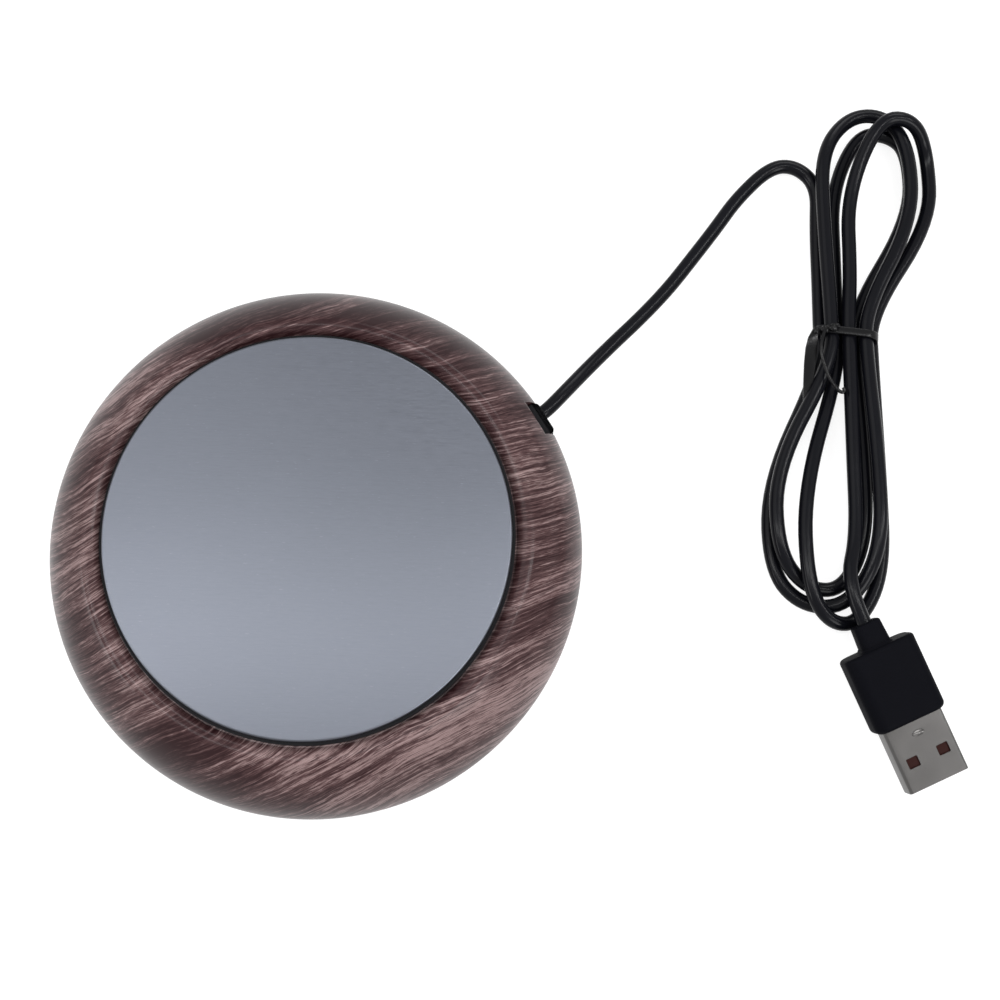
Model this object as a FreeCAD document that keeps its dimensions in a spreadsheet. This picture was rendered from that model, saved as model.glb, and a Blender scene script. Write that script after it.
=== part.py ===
"""Electric mug warmer: a domed ring housing round a heated plate, with its USB cord in a tied hank.

All sizes are millimetres. The origin is the bottom centre of the warmer on the table, +Z is up,
and +X and +Y point to the right and to the back of the table.
"""
import FreeCAD, Part
import math
import os
import Sketcher
from FreeCAD import Placement, Rotation, Vector

SIZES = [
    ("rim_width", 12.4, "width of the dome from its opening to its widest line"),
    ("widest_height", 6.5, "height of the widest line"),
    ("dome_arc_radius", 20.4, "radius of the dome's flank in section"),
    ("crest_corner_width", 1.6, "distance from the opening to where the flank meets the inner slope"),
    ("crest_corner_height", 22.7, "height at which the flank meets the inner slope"),
    ("crest_round", 2.2, "rounding of the crest"),
    ("waist_round", 3.0, "rounding of the widest line"),
    ("tuck_inset", 2.4, "how far the dome's bottom edge lies inside its widest line"),
    ("shell_wall", 2.0, "wall of the dome"),
    ("underside_height", 1.0, "height of the underside above the table"),
    ("rim_slope_drop", 1.9, "how far the inner slope falls from the crest corner"),
    ("rim_gap", 0.6, "gap between the plate and the housing"),
    ("ledge_drop", 2.1, "how far the ledge that carries the plate lies below the crest corner"),
    ("ledge_thickness", 1.6, "thickness of the ledge"),
    ("ledge_width", 4.1, "width of the ledge"),
    ("plate_radius", 37.0, "radius of the heated plate"),
    ("plate_thickness", 1.2, "thickness of the heated plate"),
    ("plate_edge_round", 0.4, "rounding of the plate's top edge"),
    ("seal_thickness", 1.2, "thickness of the seal under the plate"),
    ("seal_width", 3.2, "width of the seal"),
    ("seal_clearance", 0.3, "gap between the seal and the housing"),
    ("stud_circle", 22.0, "radius of the circle of studs under the plate"),
    ("stud_radius", 1.5, "radius of a stud"),
    ("stud_past_nut", 1.0, "how far a stud runs past its nut"),
    ("stud_clearance", 0.3, "gap round a stud"),
    ("film_inset", 6.0, "distance from the plate's edge to the heater film's"),
    ("film_thickness", 0.3, "thickness of the heater film"),
    ("lead_slot_place", 19.0, "distance from the middle to the slot for the heater leads"),
    ("lead_slot_length", 12.0, "length of the slot for the heater leads"),
    ("lead_slot_width", 5.0, "width of the slot for the heater leads"),
    ("retainer_overlap", 2.5, "how far the retainer plate reaches under the ledge"),
    ("retainer_thickness", 1.0, "thickness of the retainer plate"),
    ("nut_flats", 5.5, "width of a nut across its flats"),
    ("nut_height", 2.4, "height of a nut"),
    ("nut_clearance", 0.1, "gap between a nut and its stud"),
    ("cutout_length", 16.0, "length of the thermal cutout"),
    ("cutout_width", 7.4, "width of the thermal cutout"),
    ("cutout_height", 4.0, "height of the thermal cutout"),
    ("clip_width", 6.0, "width of the clip over the thermal cutout"),
    ("clip_thickness", 0.6, "thickness of the clip"),
    ("clip_reach", 11.0, "distance from the middle to the end of the clip's foot"),
    ("clip_clearance", 0.3, "gap between the clip's legs and the cutout"),
    ("clip_screw_place", 7.6, "distance from the middle to a clip screw"),
    ("small_head_radius", 2.6, "head radius of a clip or clamp screw"),
    ("small_head_height", 1.8, "head height of a clip or clamp screw"),
    ("small_shank_radius", 1.3, "shank radius of a clip or clamp screw"),
    ("screw_clearance", 0.3, "gap round a screw"),
    ("cover_thickness", 2.0, "thickness of the base cover"),
    ("cover_rim_height", 3.4, "height of the base cover's rim above its floor"),
    ("cover_rim_wall", 1.6, "wall of the base cover's rim"),
    ("cover_clearance", 0.3, "gap between the base cover and the dome"),
    ("boss_gap", 0.8, "gap between the retainer plate and the screw bosses"),
    ("screw_count", 4.0, "number of base screws"),
    ("boss_radius", 3.2, "radius of a screw boss"),
    ("boss_bite", 0.3, "how far a boss runs into the ledge"),
    ("cover_boss_height", 2.6, "height of the base cover's bosses above its floor"),
    ("cover_boss_extra", 0.6, "how much wider a base cover's boss is than the dome's"),
    ("screw_head_radius", 2.8, "head radius of a base screw"),
    ("screw_head_height", 1.7, "head height of a base screw"),
    ("screw_head_depth", 2.2, "depth of the well for a base screw's head"),
    ("screw_shank_radius", 1.4, "shank radius of a base screw"),
    ("screw_length", 9.0, "shank length of a base screw"),
    ("pilot_depth", 8.0, "depth of the hole for a base screw in the dome's boss"),
    ("foot_inset", 9.3, "distance from the base cover's edge to the middle of a foot"),
    ("foot_radius", 5.0, "radius of a foot"),
    ("foot_sink", 0.8, "how far a foot sits in the base cover"),
    ("foot_clearance", 0.3, "gap round a foot"),
    ("foot_chamfer", 0.4, "chamfer of a foot's lower edge"),
    ("cord_bearing", 32.0, "direction of the cord's exit, in degrees from +X"),
    ("cord_height", 6.0, "height of the cord's centre at its exit"),
    ("cord_diameter", 2.8, "diameter of the cord"),
    ("slot_width", 6.4, "width of the cord slot in the dome"),
    ("slot_shift", 0.9, "how far the slot's middle lies to the right of the cord"),
    ("slot_depth", 2.8, "depth of the cord slot from the widest line"),
    ("grommet_clearance", 0.2, "gap between the grommet and the slot's walls"),
    ("grommet_face_inset", 0.6, "how far the grommet's face lies inside the widest line"),
    ("grommet_rise", 4.9, "height of the grommet's top above the cord's centre"),
    ("grommet_reach", 3.7, "how far the grommet reaches inside the base cover's edge"),
    ("grommet_flange_width", 10.4, "width of the grommet's flange inside the dome"),
    ("grommet_flange_thickness", 3.0, "thickness of the grommet's flange"),
    ("grommet_round", 1.2, "rounding of the grommet's outer top edges"),
    ("collar_radius", 2.3, "radius of the collar round the cord"),
    ("collar_length", 0.9, "length of the collar round the cord"),
    ("clamp_setback", 8.6, "distance from the grommet's inner face to the middle of the cord clamp"),
    ("clamp_length", 6.0, "length of the cord clamp along the cord"),
    ("clamp_width", 15.0, "width of the cord clamp"),
    ("clamp_thickness", 2.4, "thickness of the cord clamp above the cord's centre"),
    ("clamp_screw_place", 4.9, "distance from the cord to a clamp screw"),
    ("clamp_clearance", 0.1, "gap between the clamp and the cord"),
    ("tail_past_clamp", 7.0, "how far the cord's jacket runs past the middle of the clamp"),
    ("wire_diameter", 1.2, "diameter of a wire"),
    ("wire_reach", 5.0, "how far a wire runs on before it turns"),
    ("core_reach", 2.2, "straight ends of the cord's cores"),
    ("core_gap", 0.1, "gap between the two cores"),
    ("core_inset", 1.0, "distance from a cap's middle to the wire or the core in it"),
    ("cap_radius", 2.5, "radius of a crimp cap"),
    ("cap_length", 10.0, "length of a crimp cap"),
    ("cap_round", 1.5, "rounding of a crimp cap's closed end"),
    ("cap_setback", 8.0, "distance from the jacket's end to a crimp cap's open face"),
    ("cap_spread", 3.2, "distance from the cord's line to a crimp cap"),
    ("plug_width", 14.2, "width of the plug's moulding"),
    ("plug_thickness", 7.6, "thickness of the plug's moulding"),
    ("plug_length", 14.0, "length of the plug's moulding"),
    ("plug_corner_round", 2.4, "rounding of the moulding's long edges"),
    ("plug_end_round", 1.2, "rounding of the moulding's end edges"),
    ("plug_neck_width", 5.9, "width of the plug's neck"),
    ("plug_neck_thickness", 5.2, "thickness of the plug's neck"),
    ("plug_neck_length", 4.6, "length of the plug's neck"),
    ("plug_neck_round", 1.6, "rounding of the neck's long edges"),
    ("shell_width", 12.0, "width of the plug's metal shell"),
    ("shell_thickness", 4.5, "thickness of the plug's metal shell"),
    ("shell_length", 12.1, "length of the metal shell outside the moulding"),
    ("shell_sink", 4.0, "how far the metal shell runs into the moulding"),
    ("shell_sheet", 0.3, "sheet thickness of the metal shell"),
    ("shell_clearance", 0.05, "gap between the moulding and the metal shell"),
    ("shell_corner_round", 0.6, "rounding of the metal shell's long edges"),
    ("window_length", 2.0, "length of a window in the metal shell"),
    ("window_width", 2.3, "width of a window in the metal shell"),
    ("window_place", 5.2, "distance from the tip to a window's middle"),
    ("window_spread", 3.1, "distance from the shell's middle line to a window"),
    ("tongue_thickness", 1.9, "thickness of the plug's tongue"),
    ("tongue_setback", 0.6, "distance from the metal shell's tip to the tongue's"),
    ("tongue_clearance", 0.05, "gap between the tongue and the metal shell's sides"),
    ("contact_width", 1.0, "width of a contact"),
    ("contact_thickness", 0.15, "thickness of a contact"),
    ("contact_length", 7.0, "length of a contact"),
    ("contact_setback", 1.0, "distance from the tongue's tip to a contact"),
    ("contact_inner_pitch", 1.0, "distance from the middle line to an inner contact"),
    ("contact_outer_pitch", 3.5, "distance from the middle line to an outer contact"),
    ("plug_heading", -65.6, "direction in which the plug points, in degrees from +X"),
    ("plug_pitch", 8.0, "slope of the plug down to its tip, in degrees"),
    ("plug_tip_x", 115.45, "place of the plug's tip along X"),
    ("plug_tip_y", -42.7, "place of the plug's tip along Y"),
    ("table_gap", 0.05, "gap between the plug's tip or the tie and the table"),
    ("tie_width", 1.5, "width of the tie's ribbon"),
    ("tie_tail_width", 2.3, "width of the tie's flat end"),
    ("tie_thickness", 0.6, "thickness of the tie's ribbon"),
    ("tie_clearance", 0.3, "gap between the tie and the cord"),
    ("waist_x", 102.2, "place of the hank's waist along X"),
    ("waist_y", 42.5, "place of the hank's waist along Y"),
    ("waist_pitch", 3.3, "distance between neighbouring strands at the waist"),
    ("waist_layer_rise", 3.1, "height of the waist's upper layer above its lower one"),
]
VALUE = {alias: value for alias, value, note in SIZES}

# Heights in the stack from the table up, and other sums of the sizes above, as expressions
S = "Sizes."
OVERCUT = 1.0
FLOOR = f"({S}underside_height + {S}cover_thickness)"
LEDGE_TOP = f"({S}crest_corner_height - {S}ledge_drop)"
LEDGE_UNDER = f"({LEDGE_TOP} - {S}ledge_thickness)"
RIM_BORE = f"({S}plate_radius + {S}rim_gap)"
LEDGE_BORE = f"({RIM_BORE} - {S}ledge_width)"
BODY_RADIUS = f"({RIM_BORE} + {S}rim_width)"
TUCK_RADIUS = f"({BODY_RADIUS} - {S}tuck_inset)"
PLATE_UNDER = f"({LEDGE_TOP} + {S}seal_thickness)"
FILM_RADIUS = f"({S}plate_radius - {S}film_inset)"
RETAINER_RADIUS = f"({LEDGE_BORE} + {S}retainer_overlap)"
SCREW_CIRCLE = f"({RETAINER_RADIUS} + {S}boss_gap + {S}boss_radius)"
PLATE_TOP = f"({PLATE_UNDER} + {S}plate_thickness)"
FILM_UNDER = f"({PLATE_UNDER} - {S}film_thickness)"
RETAINER_UNDER = f"({LEDGE_UNDER} - {S}retainer_thickness)"
CLIP_FOOT_UNDER = f"({RETAINER_UNDER} - {S}clip_thickness)"
COVER_RADIUS = f"({TUCK_RADIUS} - {S}shell_wall - {S}cover_clearance)"
FOOT_CIRCLE = f"({COVER_RADIUS} - {S}foot_inset)"
SLOT_RADIUS = f"({BODY_RADIUS} - {S}slot_depth)"
SLOT_RIGHT = f"(-{S}slot_shift - {S}slot_width / 2)"
SLOT_LEFT = f"(-{S}slot_shift + {S}slot_width / 2)"
GROMMET_FACE = f"({BODY_RADIUS} - {S}grommet_face_inset)"
GROMMET_TOP = f"({S}cord_height + {S}grommet_rise)"
GROMMET_INNER = f"({COVER_RADIUS} - {S}grommet_reach)"
CLAMP_PLACE = f"({GROMMET_INNER} - {S}clamp_setback)"
TAIL_END = f"({CLAMP_PLACE} - {S}tail_past_clamp)"
CAP_MOUTH = f"({TAIL_END} - {S}cap_setback)"
BOSS_TOP = f"({FLOOR} + {S}cover_boss_height)"
STUD_HOLE = f"({S}stud_radius + {S}stud_clearance)"
STUD_BEARINGS = (90, 210, 330)
FOOT_BEARINGS = (45, 135, 225, 315)

# The same sums as numbers, for what is drawn or placed in code
rim_bore = VALUE["plate_radius"] + VALUE["rim_gap"]
body_radius = rim_bore + VALUE["rim_width"]
ledge_top = VALUE["crest_corner_height"] - VALUE["ledge_drop"]
ledge_under = ledge_top - VALUE["ledge_thickness"]
retainer_under = ledge_under - VALUE["retainer_thickness"]
plate_under = ledge_top + VALUE["seal_thickness"]
cover_radius = body_radius - VALUE["tuck_inset"] - VALUE["shell_wall"] - VALUE["cover_clearance"]
tail_end = cover_radius - VALUE["grommet_reach"] - VALUE["clamp_setback"] - VALUE["tail_past_clamp"]
cap_mouth = tail_end - VALUE["cap_setback"]


def plane_of(body, role):
    """Find one of a body's own origin planes or axes."""
    for feature in body.Origin.OriginFeatures:
        if feature.Role == role:
            return feature
    raise ValueError(role)


def new_body(doc, name):
    body = doc.addObject("PartDesign::Body", name)
    body.Label = name
    return body


def new_sketch(body, name, role="XZ_Plane", height=None, bearing=None):
    """Put a sketch on a plane of its body, lifted by one expression and turned by another."""
    sketch = body.newObject("Sketcher::SketchObject", name)
    sketch.AttachmentSupport = [(plane_of(body, role), "")]
    sketch.MapMode = "FlatFace"
    if height:
        sketch.setExpression("AttachmentOffset.Base.z", height)
    if bearing:
        sketch.AttachmentOffset = Placement(Vector(0, 0, 0), Rotation(Vector(0, 0, 1), 1.0))
        sketch.setExpression("AttachmentOffset.Rotation.Angle", bearing)
    return sketch


def pin(sketch, edge, end, across, up, near=Vector(1, 1, 0)):
    """Hold one point of a sketch at two distances from its origin, drawn first where it is about."""
    for kind, distance, first in (("DistanceX", across, near.x), ("DistanceY", up, near.y)):
        number = sketch.addConstraint(Sketcher.Constraint(kind, -1, 1, edge, end, first))
        sketch.setExpression(f"Constraints[{number}]", distance)


def outline(sketch, corners):
    """Draw a closed outline of straight sides through corners given as pairs of expressions."""
    first = sketch.GeometryCount
    count = len(corners)
    for place in range(count):
        here = Rotation(Vector(0, 0, 1), 360 * place / count).multVec(Vector(20, 0, 0))
        there = Rotation(Vector(0, 0, 1), 360 * (place + 1) / count).multVec(Vector(20, 0, 0))
        sketch.addGeometry(Part.LineSegment(here, there), False)
    for place in range(count):
        after = first + (place + 1) % count
        sketch.addConstraint(Sketcher.Constraint("Coincident", first + place, 2, after, 1))
    for place, (across, up) in enumerate(corners):
        pin(sketch, first + place, 1, across, up)


def rectangle(sketch, left, right, low, high):
    outline(sketch, [(left, low), (right, low), (right, high), (left, high)])


def disc(sketch, across, up, radius):
    """Draw a circle whose middle and radius are expressions."""
    circle = sketch.addGeometry(Part.Circle(Vector(5, 5, 0), Vector(0, 0, 1), 2.0), False)
    pin(sketch, circle, 3, across, up)
    number = sketch.addConstraint(Sketcher.Constraint("Radius", circle, 2.0))
    sketch.setExpression(f"Constraints[{number}]", radius)


def pad(body, sketch, name, length, reverse=False):
    feature = body.newObject("PartDesign::Pad", name)
    feature.Profile = sketch
    feature.setExpression("Length", length)
    feature.Reversed = reverse
    return feature


def pocket(body, sketch, name, length, reverse=False):
    """Cut a sketch into a body: against the sketch's normal, or along it where reversed."""
    feature = body.newObject("PartDesign::Pocket", name)
    feature.Profile = sketch
    feature.setExpression("Length", length)
    feature.Reversed = reverse
    return feature


def revolve(body, sketch, name):
    feature = body.newObject("PartDesign::Revolution", name)
    feature.Profile = sketch
    feature.ReferenceAxis = (sketch, ["V_Axis"])
    feature.Angle = 360
    return feature


def ring_pattern(body, features, name, count):
    """Repeat features round the upright axis."""
    pattern = body.newObject("PartDesign::PolarPattern", name)
    pattern.Originals = features
    pattern.Axis = (plane_of(body, "Z_Axis"), [""])
    pattern.Angle = 360
    pattern.setExpression("Occurrences", count)
    body.Tip = pattern
    return pattern


def fillet(body, base, name, size, wanted):
    """Round those edges of the last feature for which the test holds."""
    body.Document.recompute()
    edges = [f"Edge{number + 1}" for number, edge in enumerate(base.Shape.Edges) if wanted(edge)]
    feature = body.newObject("PartDesign::Fillet", name)
    feature.Base = (base, edges)
    feature.setExpression("Radius", size)
    return feature


def turned_body(doc, name, corners):
    """Make a body by turning one outline about the upright axis."""
    body = new_body(doc, name)
    sketch = new_sketch(body, f"{name}_profile")
    outline(sketch, corners)
    revolve(body, sketch, f"{name}_turned")
    return body


def is_ring(edge, height, radius=None, slack=0.02):
    """Tell whether an edge is a level circle at a height, and of a radius if one is given."""
    if not isinstance(edge.Curve, Part.Circle):
        return False
    if abs(edge.Curve.Center.z - height) > slack or abs(edge.Curve.Axis.z) < 0.999:
        return False
    return radius is None or abs(edge.Curve.Radius - radius) < slack


def arc_between(sketch, start, end, radius):
    """Draw an arc that bulges away from the axis, from a low point to a high one."""
    chord = end - start
    middle = (start + end) * 0.5
    inward = Vector(-chord.y, chord.x, 0).normalize()
    centre = middle + inward * math.sqrt(radius ** 2 - (chord.Length / 2) ** 2)
    first = math.atan2(start.y - centre.y, start.x - centre.x)
    last = math.atan2(end.y - centre.y, end.x - centre.x)
    circle = Part.Circle(centre, Vector(0, 0, 1), radius)
    return sketch.addGeometry(Part.ArcOfCircle(circle, first, last), False)


def make_top_shell(doc):
    """The domed ring: one arc for the flank, an inner slope down to a ledge, and screw bosses."""
    body = new_body(doc, "top_shell")
    sketch = new_sketch(body, "dome_section")
    wall = VALUE["shell_wall"]
    low = VALUE["underside_height"]
    widest = VALUE["widest_height"]
    crest = VALUE["crest_corner_height"]
    crest_radius = rim_bore + VALUE["crest_corner_width"]
    tuck_radius = body_radius - VALUE["tuck_inset"]
    ledge_bore = rim_bore - VALUE["ledge_width"]
    flank = VALUE["dome_arc_radius"]
    places = [
        Vector(tuck_radius, low, 0),
        Vector(body_radius, widest, 0),
        Vector(crest_radius, crest, 0),
        Vector(rim_bore, crest - VALUE["rim_slope_drop"], 0),
        Vector(rim_bore, ledge_top, 0),
        Vector(ledge_bore, ledge_top, 0),
        Vector(ledge_bore, ledge_under, 0),
        Vector(rim_bore + 2 * wall, ledge_under, 0),
        Vector(body_radius - wall, widest, 0),
        Vector(tuck_radius - wall, low, 0),
    ]
    edges = []
    for place, here in enumerate(places):
        there = places[(place + 1) % len(places)]
        if place == 1:
            edges.append(arc_between(sketch, here, there, flank))
        elif place == 7:
            edges.append(arc_between(sketch, there, here, flank - wall))
        else:
            edges.append(sketch.addGeometry(Part.LineSegment(here, there), False))
    flank_arc, inner_arc = edges[1], edges[7]
    # An arc runs from its low end to its high end, so the inner one is met end first
    starts = [1] * len(edges)
    ends = [2] * len(edges)
    starts[7], ends[7] = 2, 1
    for place, edge in enumerate(edges):
        after = (place + 1) % len(edges)
        sketch.addConstraint(Sketcher.Constraint("Coincident", edge, ends[place], edges[after], starts[after]))
    sketch.addConstraint(Sketcher.Constraint("Coincident", flank_arc, 3, inner_arc, 3))
    pins = {
        0: (TUCK_RADIUS, f"{S}underside_height"),
        1: (BODY_RADIUS, f"{S}widest_height"),
        2: (f"{RIM_BORE} + {S}crest_corner_width", f"{S}crest_corner_height"),
        3: (RIM_BORE, f"{S}crest_corner_height - {S}rim_slope_drop"),
        4: (RIM_BORE, LEDGE_TOP),
        5: (LEDGE_BORE, LEDGE_TOP),
        6: (LEDGE_BORE, LEDGE_UNDER),
        9: (f"{TUCK_RADIUS} - {S}shell_wall", f"{S}underside_height"),
    }
    for place, (across, up) in pins.items():
        pin(sketch, edges[place], 1, across, up, places[place])
    for arc, first, radius in ((flank_arc, flank, f"{S}dome_arc_radius"),
                               (inner_arc, flank - wall, f"{S}dome_arc_radius - {S}shell_wall")):
        number = sketch.addConstraint(Sketcher.Constraint("Radius", arc, first))
        sketch.setExpression(f"Constraints[{number}]", radius)
    for end, first, height in ((2, ledge_under, LEDGE_UNDER), (1, widest, f"{S}widest_height")):
        number = sketch.addConstraint(Sketcher.Constraint("DistanceY", -1, 1, inner_arc, end, first))
        sketch.setExpression(f"Constraints[{number}]", height)
    dome = revolve(body, sketch, "dome")
    rounded = fillet(body, dome, "crest_rounding", f"{S}crest_round",
                     lambda edge: is_ring(edge, crest, crest_radius))
    fillet(body, rounded, "waist_rounding", f"{S}waist_round",
           lambda edge: is_ring(edge, widest, body_radius))
    boss_sketch = new_sketch(body, "boss_outline", "XY_Plane", BOSS_TOP)
    disc(boss_sketch, SCREW_CIRCLE, "0", f"{S}boss_radius")
    boss = pad(body, boss_sketch, "boss", f"{LEDGE_UNDER} + {S}boss_bite - {BOSS_TOP}")
    pilot_sketch = new_sketch(body, "pilot_outline", "XY_Plane", BOSS_TOP)
    disc(pilot_sketch, SCREW_CIRCLE, "0", f"{S}screw_shank_radius + {S}screw_clearance / 2")
    pilot = pocket(body, pilot_sketch, "pilot_hole", f"{S}pilot_depth", True)
    ring_pattern(body, [boss, pilot], "bosses", f"{S}screw_count")
    below = f"({S}underside_height - {OVERCUT})"
    outside = f"({BODY_RADIUS} + {OVERCUT})"
    slot_sketch = new_sketch(body, "cord_slot_outline", "XY_Plane", below, f"{S}cord_bearing")
    rectangle(slot_sketch, SLOT_RADIUS, outside, SLOT_RIGHT, SLOT_LEFT)
    pocket(body, slot_sketch, "cord_slot", f"{S}crest_corner_height", True)
    window_sketch = new_sketch(body, "cord_window_outline", "XY_Plane", below, f"{S}cord_bearing")
    rectangle(window_sketch, GROMMET_INNER, outside, SLOT_RIGHT, SLOT_LEFT)
    pocket(body, window_sketch, "cord_window", f"{GROMMET_TOP} + {S}grommet_clearance - {below}", True)
    return body


def make_heating_plate(doc):
    """The aluminium plate with its edge rounded and three studs beneath."""
    body = turned_body(doc, "heating_plate", [
        ("0", PLATE_UNDER), (f"{S}plate_radius", PLATE_UNDER),
        (f"{S}plate_radius", PLATE_TOP), ("0", PLATE_TOP)])
    top = plate_under + VALUE["plate_thickness"]
    fillet(body, body.Tip, "plate_edge", f"{S}plate_edge_round",
           lambda edge: is_ring(edge, top, VALUE["plate_radius"]))
    sketch = new_sketch(body, "studs_outline", "XY_Plane", PLATE_UNDER)
    stud_circles(sketch, f"{S}stud_radius")
    pad(body, sketch, "studs", f"{PLATE_UNDER} - {RETAINER_UNDER} + {S}nut_height + {S}stud_past_nut", True)
    return body


def stud_circles(sketch, radius):
    for bearing in STUD_BEARINGS:
        disc(sketch, f"{S}stud_circle * cos({bearing} deg)", f"{S}stud_circle * sin({bearing} deg)", radius)


def lead_slot(sketch):
    rectangle(sketch, f"-{S}lead_slot_length / 2", f"{S}lead_slot_length / 2",
              f"-{S}lead_slot_place - {S}lead_slot_width / 2", f"-{S}lead_slot_place + {S}lead_slot_width / 2")


def make_plate_seal(doc):
    outer = f"({RIM_BORE} - {S}seal_clearance)"
    inner = f"({outer} - {S}seal_width)"
    return turned_body(doc, "plate_seal", [
        (inner, LEDGE_TOP), (outer, LEDGE_TOP), (outer, PLATE_UNDER), (inner, PLATE_UNDER)])


def pierced_disc(doc, name, radius, low, high, with_lead_slot):
    """A disc with holes for the studs, and the slot for the heater leads where it has one."""
    body = turned_body(doc, name, [("0", low), (radius, low), (radius, high), ("0", high)])
    sketch = new_sketch(body, f"{name}_holes", "XY_Plane", low)
    stud_circles(sketch, STUD_HOLE)
    if with_lead_slot:
        lead_slot(sketch)
    pocket(body, sketch, f"{name}_pierced", f"{high} - {low}", True)
    return body


def make_heater_film(doc):
    return pierced_disc(doc, "heater_film", FILM_RADIUS, FILM_UNDER, PLATE_UNDER, False)


def make_insulation_pad(doc):
    return pierced_disc(doc, "insulation_pad", FILM_RADIUS, LEDGE_UNDER, FILM_UNDER, True)


def make_heater_retainer(doc):
    """The steel disc that the studs' nuts pull up against the ledge."""
    body = pierced_disc(doc, "heater_retainer", RETAINER_RADIUS, RETAINER_UNDER, LEDGE_UNDER, True)
    sketch = new_sketch(body, "clip_screw_holes", "XY_Plane", RETAINER_UNDER)
    for side in ("", "-"):
        disc(sketch, "0", f"{side}{S}clip_screw_place", f"{S}small_shank_radius + {S}screw_clearance / 2")
    pocket(body, sketch, "retainer_screw_holes", f"{S}retainer_thickness", True)
    return body


def bind_place(piece, across=None, depth=None, height=None, bearing=None):
    """Tie a piece's placement to expressions."""
    for axis, expression in (("x", across), ("y", depth), ("z", height)):
        if expression:
            piece.setExpression(f"Placement.Base.{axis}", expression)
    if bearing:
        piece.Placement = Placement(piece.Placement.Base, Rotation(Vector(0, 0, 1), 1.0))
        piece.setExpression("Placement.Rotation.Angle", bearing)


def cylinder(doc, name, radius, height):
    piece = doc.addObject("Part::Cylinder", name)
    piece.setExpression("Radius", radius)
    piece.setExpression("Height", height)
    return piece


def box(doc, name, length, width, height):
    piece = doc.addObject("Part::Box", name)
    piece.setExpression("Length", length)
    piece.setExpression("Width", width)
    piece.setExpression("Height", height)
    return piece


def fuse(doc, name, pieces):
    whole = doc.addObject("Part::MultiFuse", name)
    whole.Shapes = pieces
    return whole


def cut(doc, name, base, tool):
    rest = doc.addObject("Part::Cut", name)
    rest.Base = base
    rest.Tool = tool
    return rest


def group(doc, name, pieces):
    """Hold like pieces, each its own solid, under one label."""
    whole = doc.addObject("Part::Compound", name)
    whole.Links = pieces
    whole.Label = name
    return whole


def make_retainer_nuts(doc):
    nuts = []
    for bearing in STUD_BEARINGS:
        across = f"{S}stud_circle * cos({bearing} deg)"
        depth = f"{S}stud_circle * sin({bearing} deg)"
        low = f"{RETAINER_UNDER} - {S}nut_height"
        blank = doc.addObject("Part::Prism", f"nut_blank_{bearing}")
        blank.Polygon = 6
        blank.setExpression("Circumradius", f"{S}nut_flats / sqrt(3)")
        blank.setExpression("Height", f"{S}nut_height")
        bore = cylinder(doc, f"nut_bore_{bearing}", f"{S}stud_radius + {S}nut_clearance", f"{S}nut_height")
        bind_place(blank, across, depth, low)
        bind_place(bore, across, depth, low)
        nuts.append(cut(doc, f"nut_{bearing}", blank, bore))
    return group(doc, "retainer_nuts", nuts)


def make_thermal_cutout(doc):
    """The flat body of the thermal cutout, with its edges along the leads rounded."""
    body = new_body(doc, "thermal_cutout")
    sketch = new_sketch(body, "cutout_section", "XY_Plane", f"{RETAINER_UNDER} - {S}cutout_height")
    rectangle(sketch, f"-{S}cutout_length / 2", f"{S}cutout_length / 2",
              f"-{S}cutout_width / 2", f"{S}cutout_width / 2")
    block = pad(body, sketch, "cutout_block", f"{S}cutout_height")
    low = retainer_under - VALUE["cutout_height"]
    fillet(body, block, "cutout_edges", f"{S}clip_thickness",
           lambda edge: edge.BoundBox.YLength < 0.01 and edge.BoundBox.ZMax < low + 0.01)
    return body


def make_cutout_clip(doc):
    """The sheet strap that holds the cutout against the retainer: two feet, two legs and a bridge."""
    body = new_body(doc, "cutout_clip")
    sketch = new_sketch(body, "clip_section", "YZ_Plane", f"-{S}clip_width / 2")
    leg_in = f"({S}cutout_width / 2 + {S}clip_clearance)"
    leg_out = f"({leg_in} + {S}clip_thickness)"
    bridge_top = f"({RETAINER_UNDER} - {S}cutout_height)"
    bridge_under = f"({bridge_top} - {S}clip_thickness)"
    half = [(f"{S}clip_reach", RETAINER_UNDER), (leg_in, RETAINER_UNDER), (leg_in, bridge_top)]
    other = [(f"-{across}", up) for across, up in reversed(half)]
    back = [(f"-{S}clip_reach", CLIP_FOOT_UNDER), (f"-{leg_out}", CLIP_FOOT_UNDER), (f"-{leg_out}", bridge_under)]
    front = [(across[1:], up) for across, up in reversed(back)]
    outline(sketch, half + other + back + front)
    pad(body, sketch, "clip_strap", f"{S}clip_width")
    holes = new_sketch(body, "clip_hole_outline", "XY_Plane", CLIP_FOOT_UNDER)
    for side in ("", "-"):
        disc(holes, "0", f"{side}{S}clip_screw_place", f"{S}small_shank_radius + {S}screw_clearance / 2")
    pocket(body, holes, "clip_holes", f"{S}clip_thickness", True)
    return body


def pan_screw(doc, name, head_radius, head_height, shank_radius, shank_length, head_up=False):
    """A pan-head screw with its head's seat at its own origin and its shank along +Z, or -Z."""
    head = cylinder(doc, f"{name}_head", head_radius, head_height)
    shank = cylinder(doc, f"{name}_shank", shank_radius, shank_length)
    if head_up:
        bind_place(shank, height=f"-({shank_length})")
    else:
        bind_place(head, height=f"-({head_height})")
    return fuse(doc, name, [head, shank])


def make_clip_screws(doc):
    screws = []
    for name, side in (("clip_screw_back", ""), ("clip_screw_front", "-")):
        screw = pan_screw(doc, name, f"{S}small_head_radius", f"{S}small_head_height",
                          f"{S}small_shank_radius", f"{S}clip_thickness + {S}retainer_thickness")
        bind_place(screw, None, f"{side}{S}clip_screw_place", CLIP_FOOT_UNDER)
        screws.append(screw)
    return group(doc, "clip_screws", screws)


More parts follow.
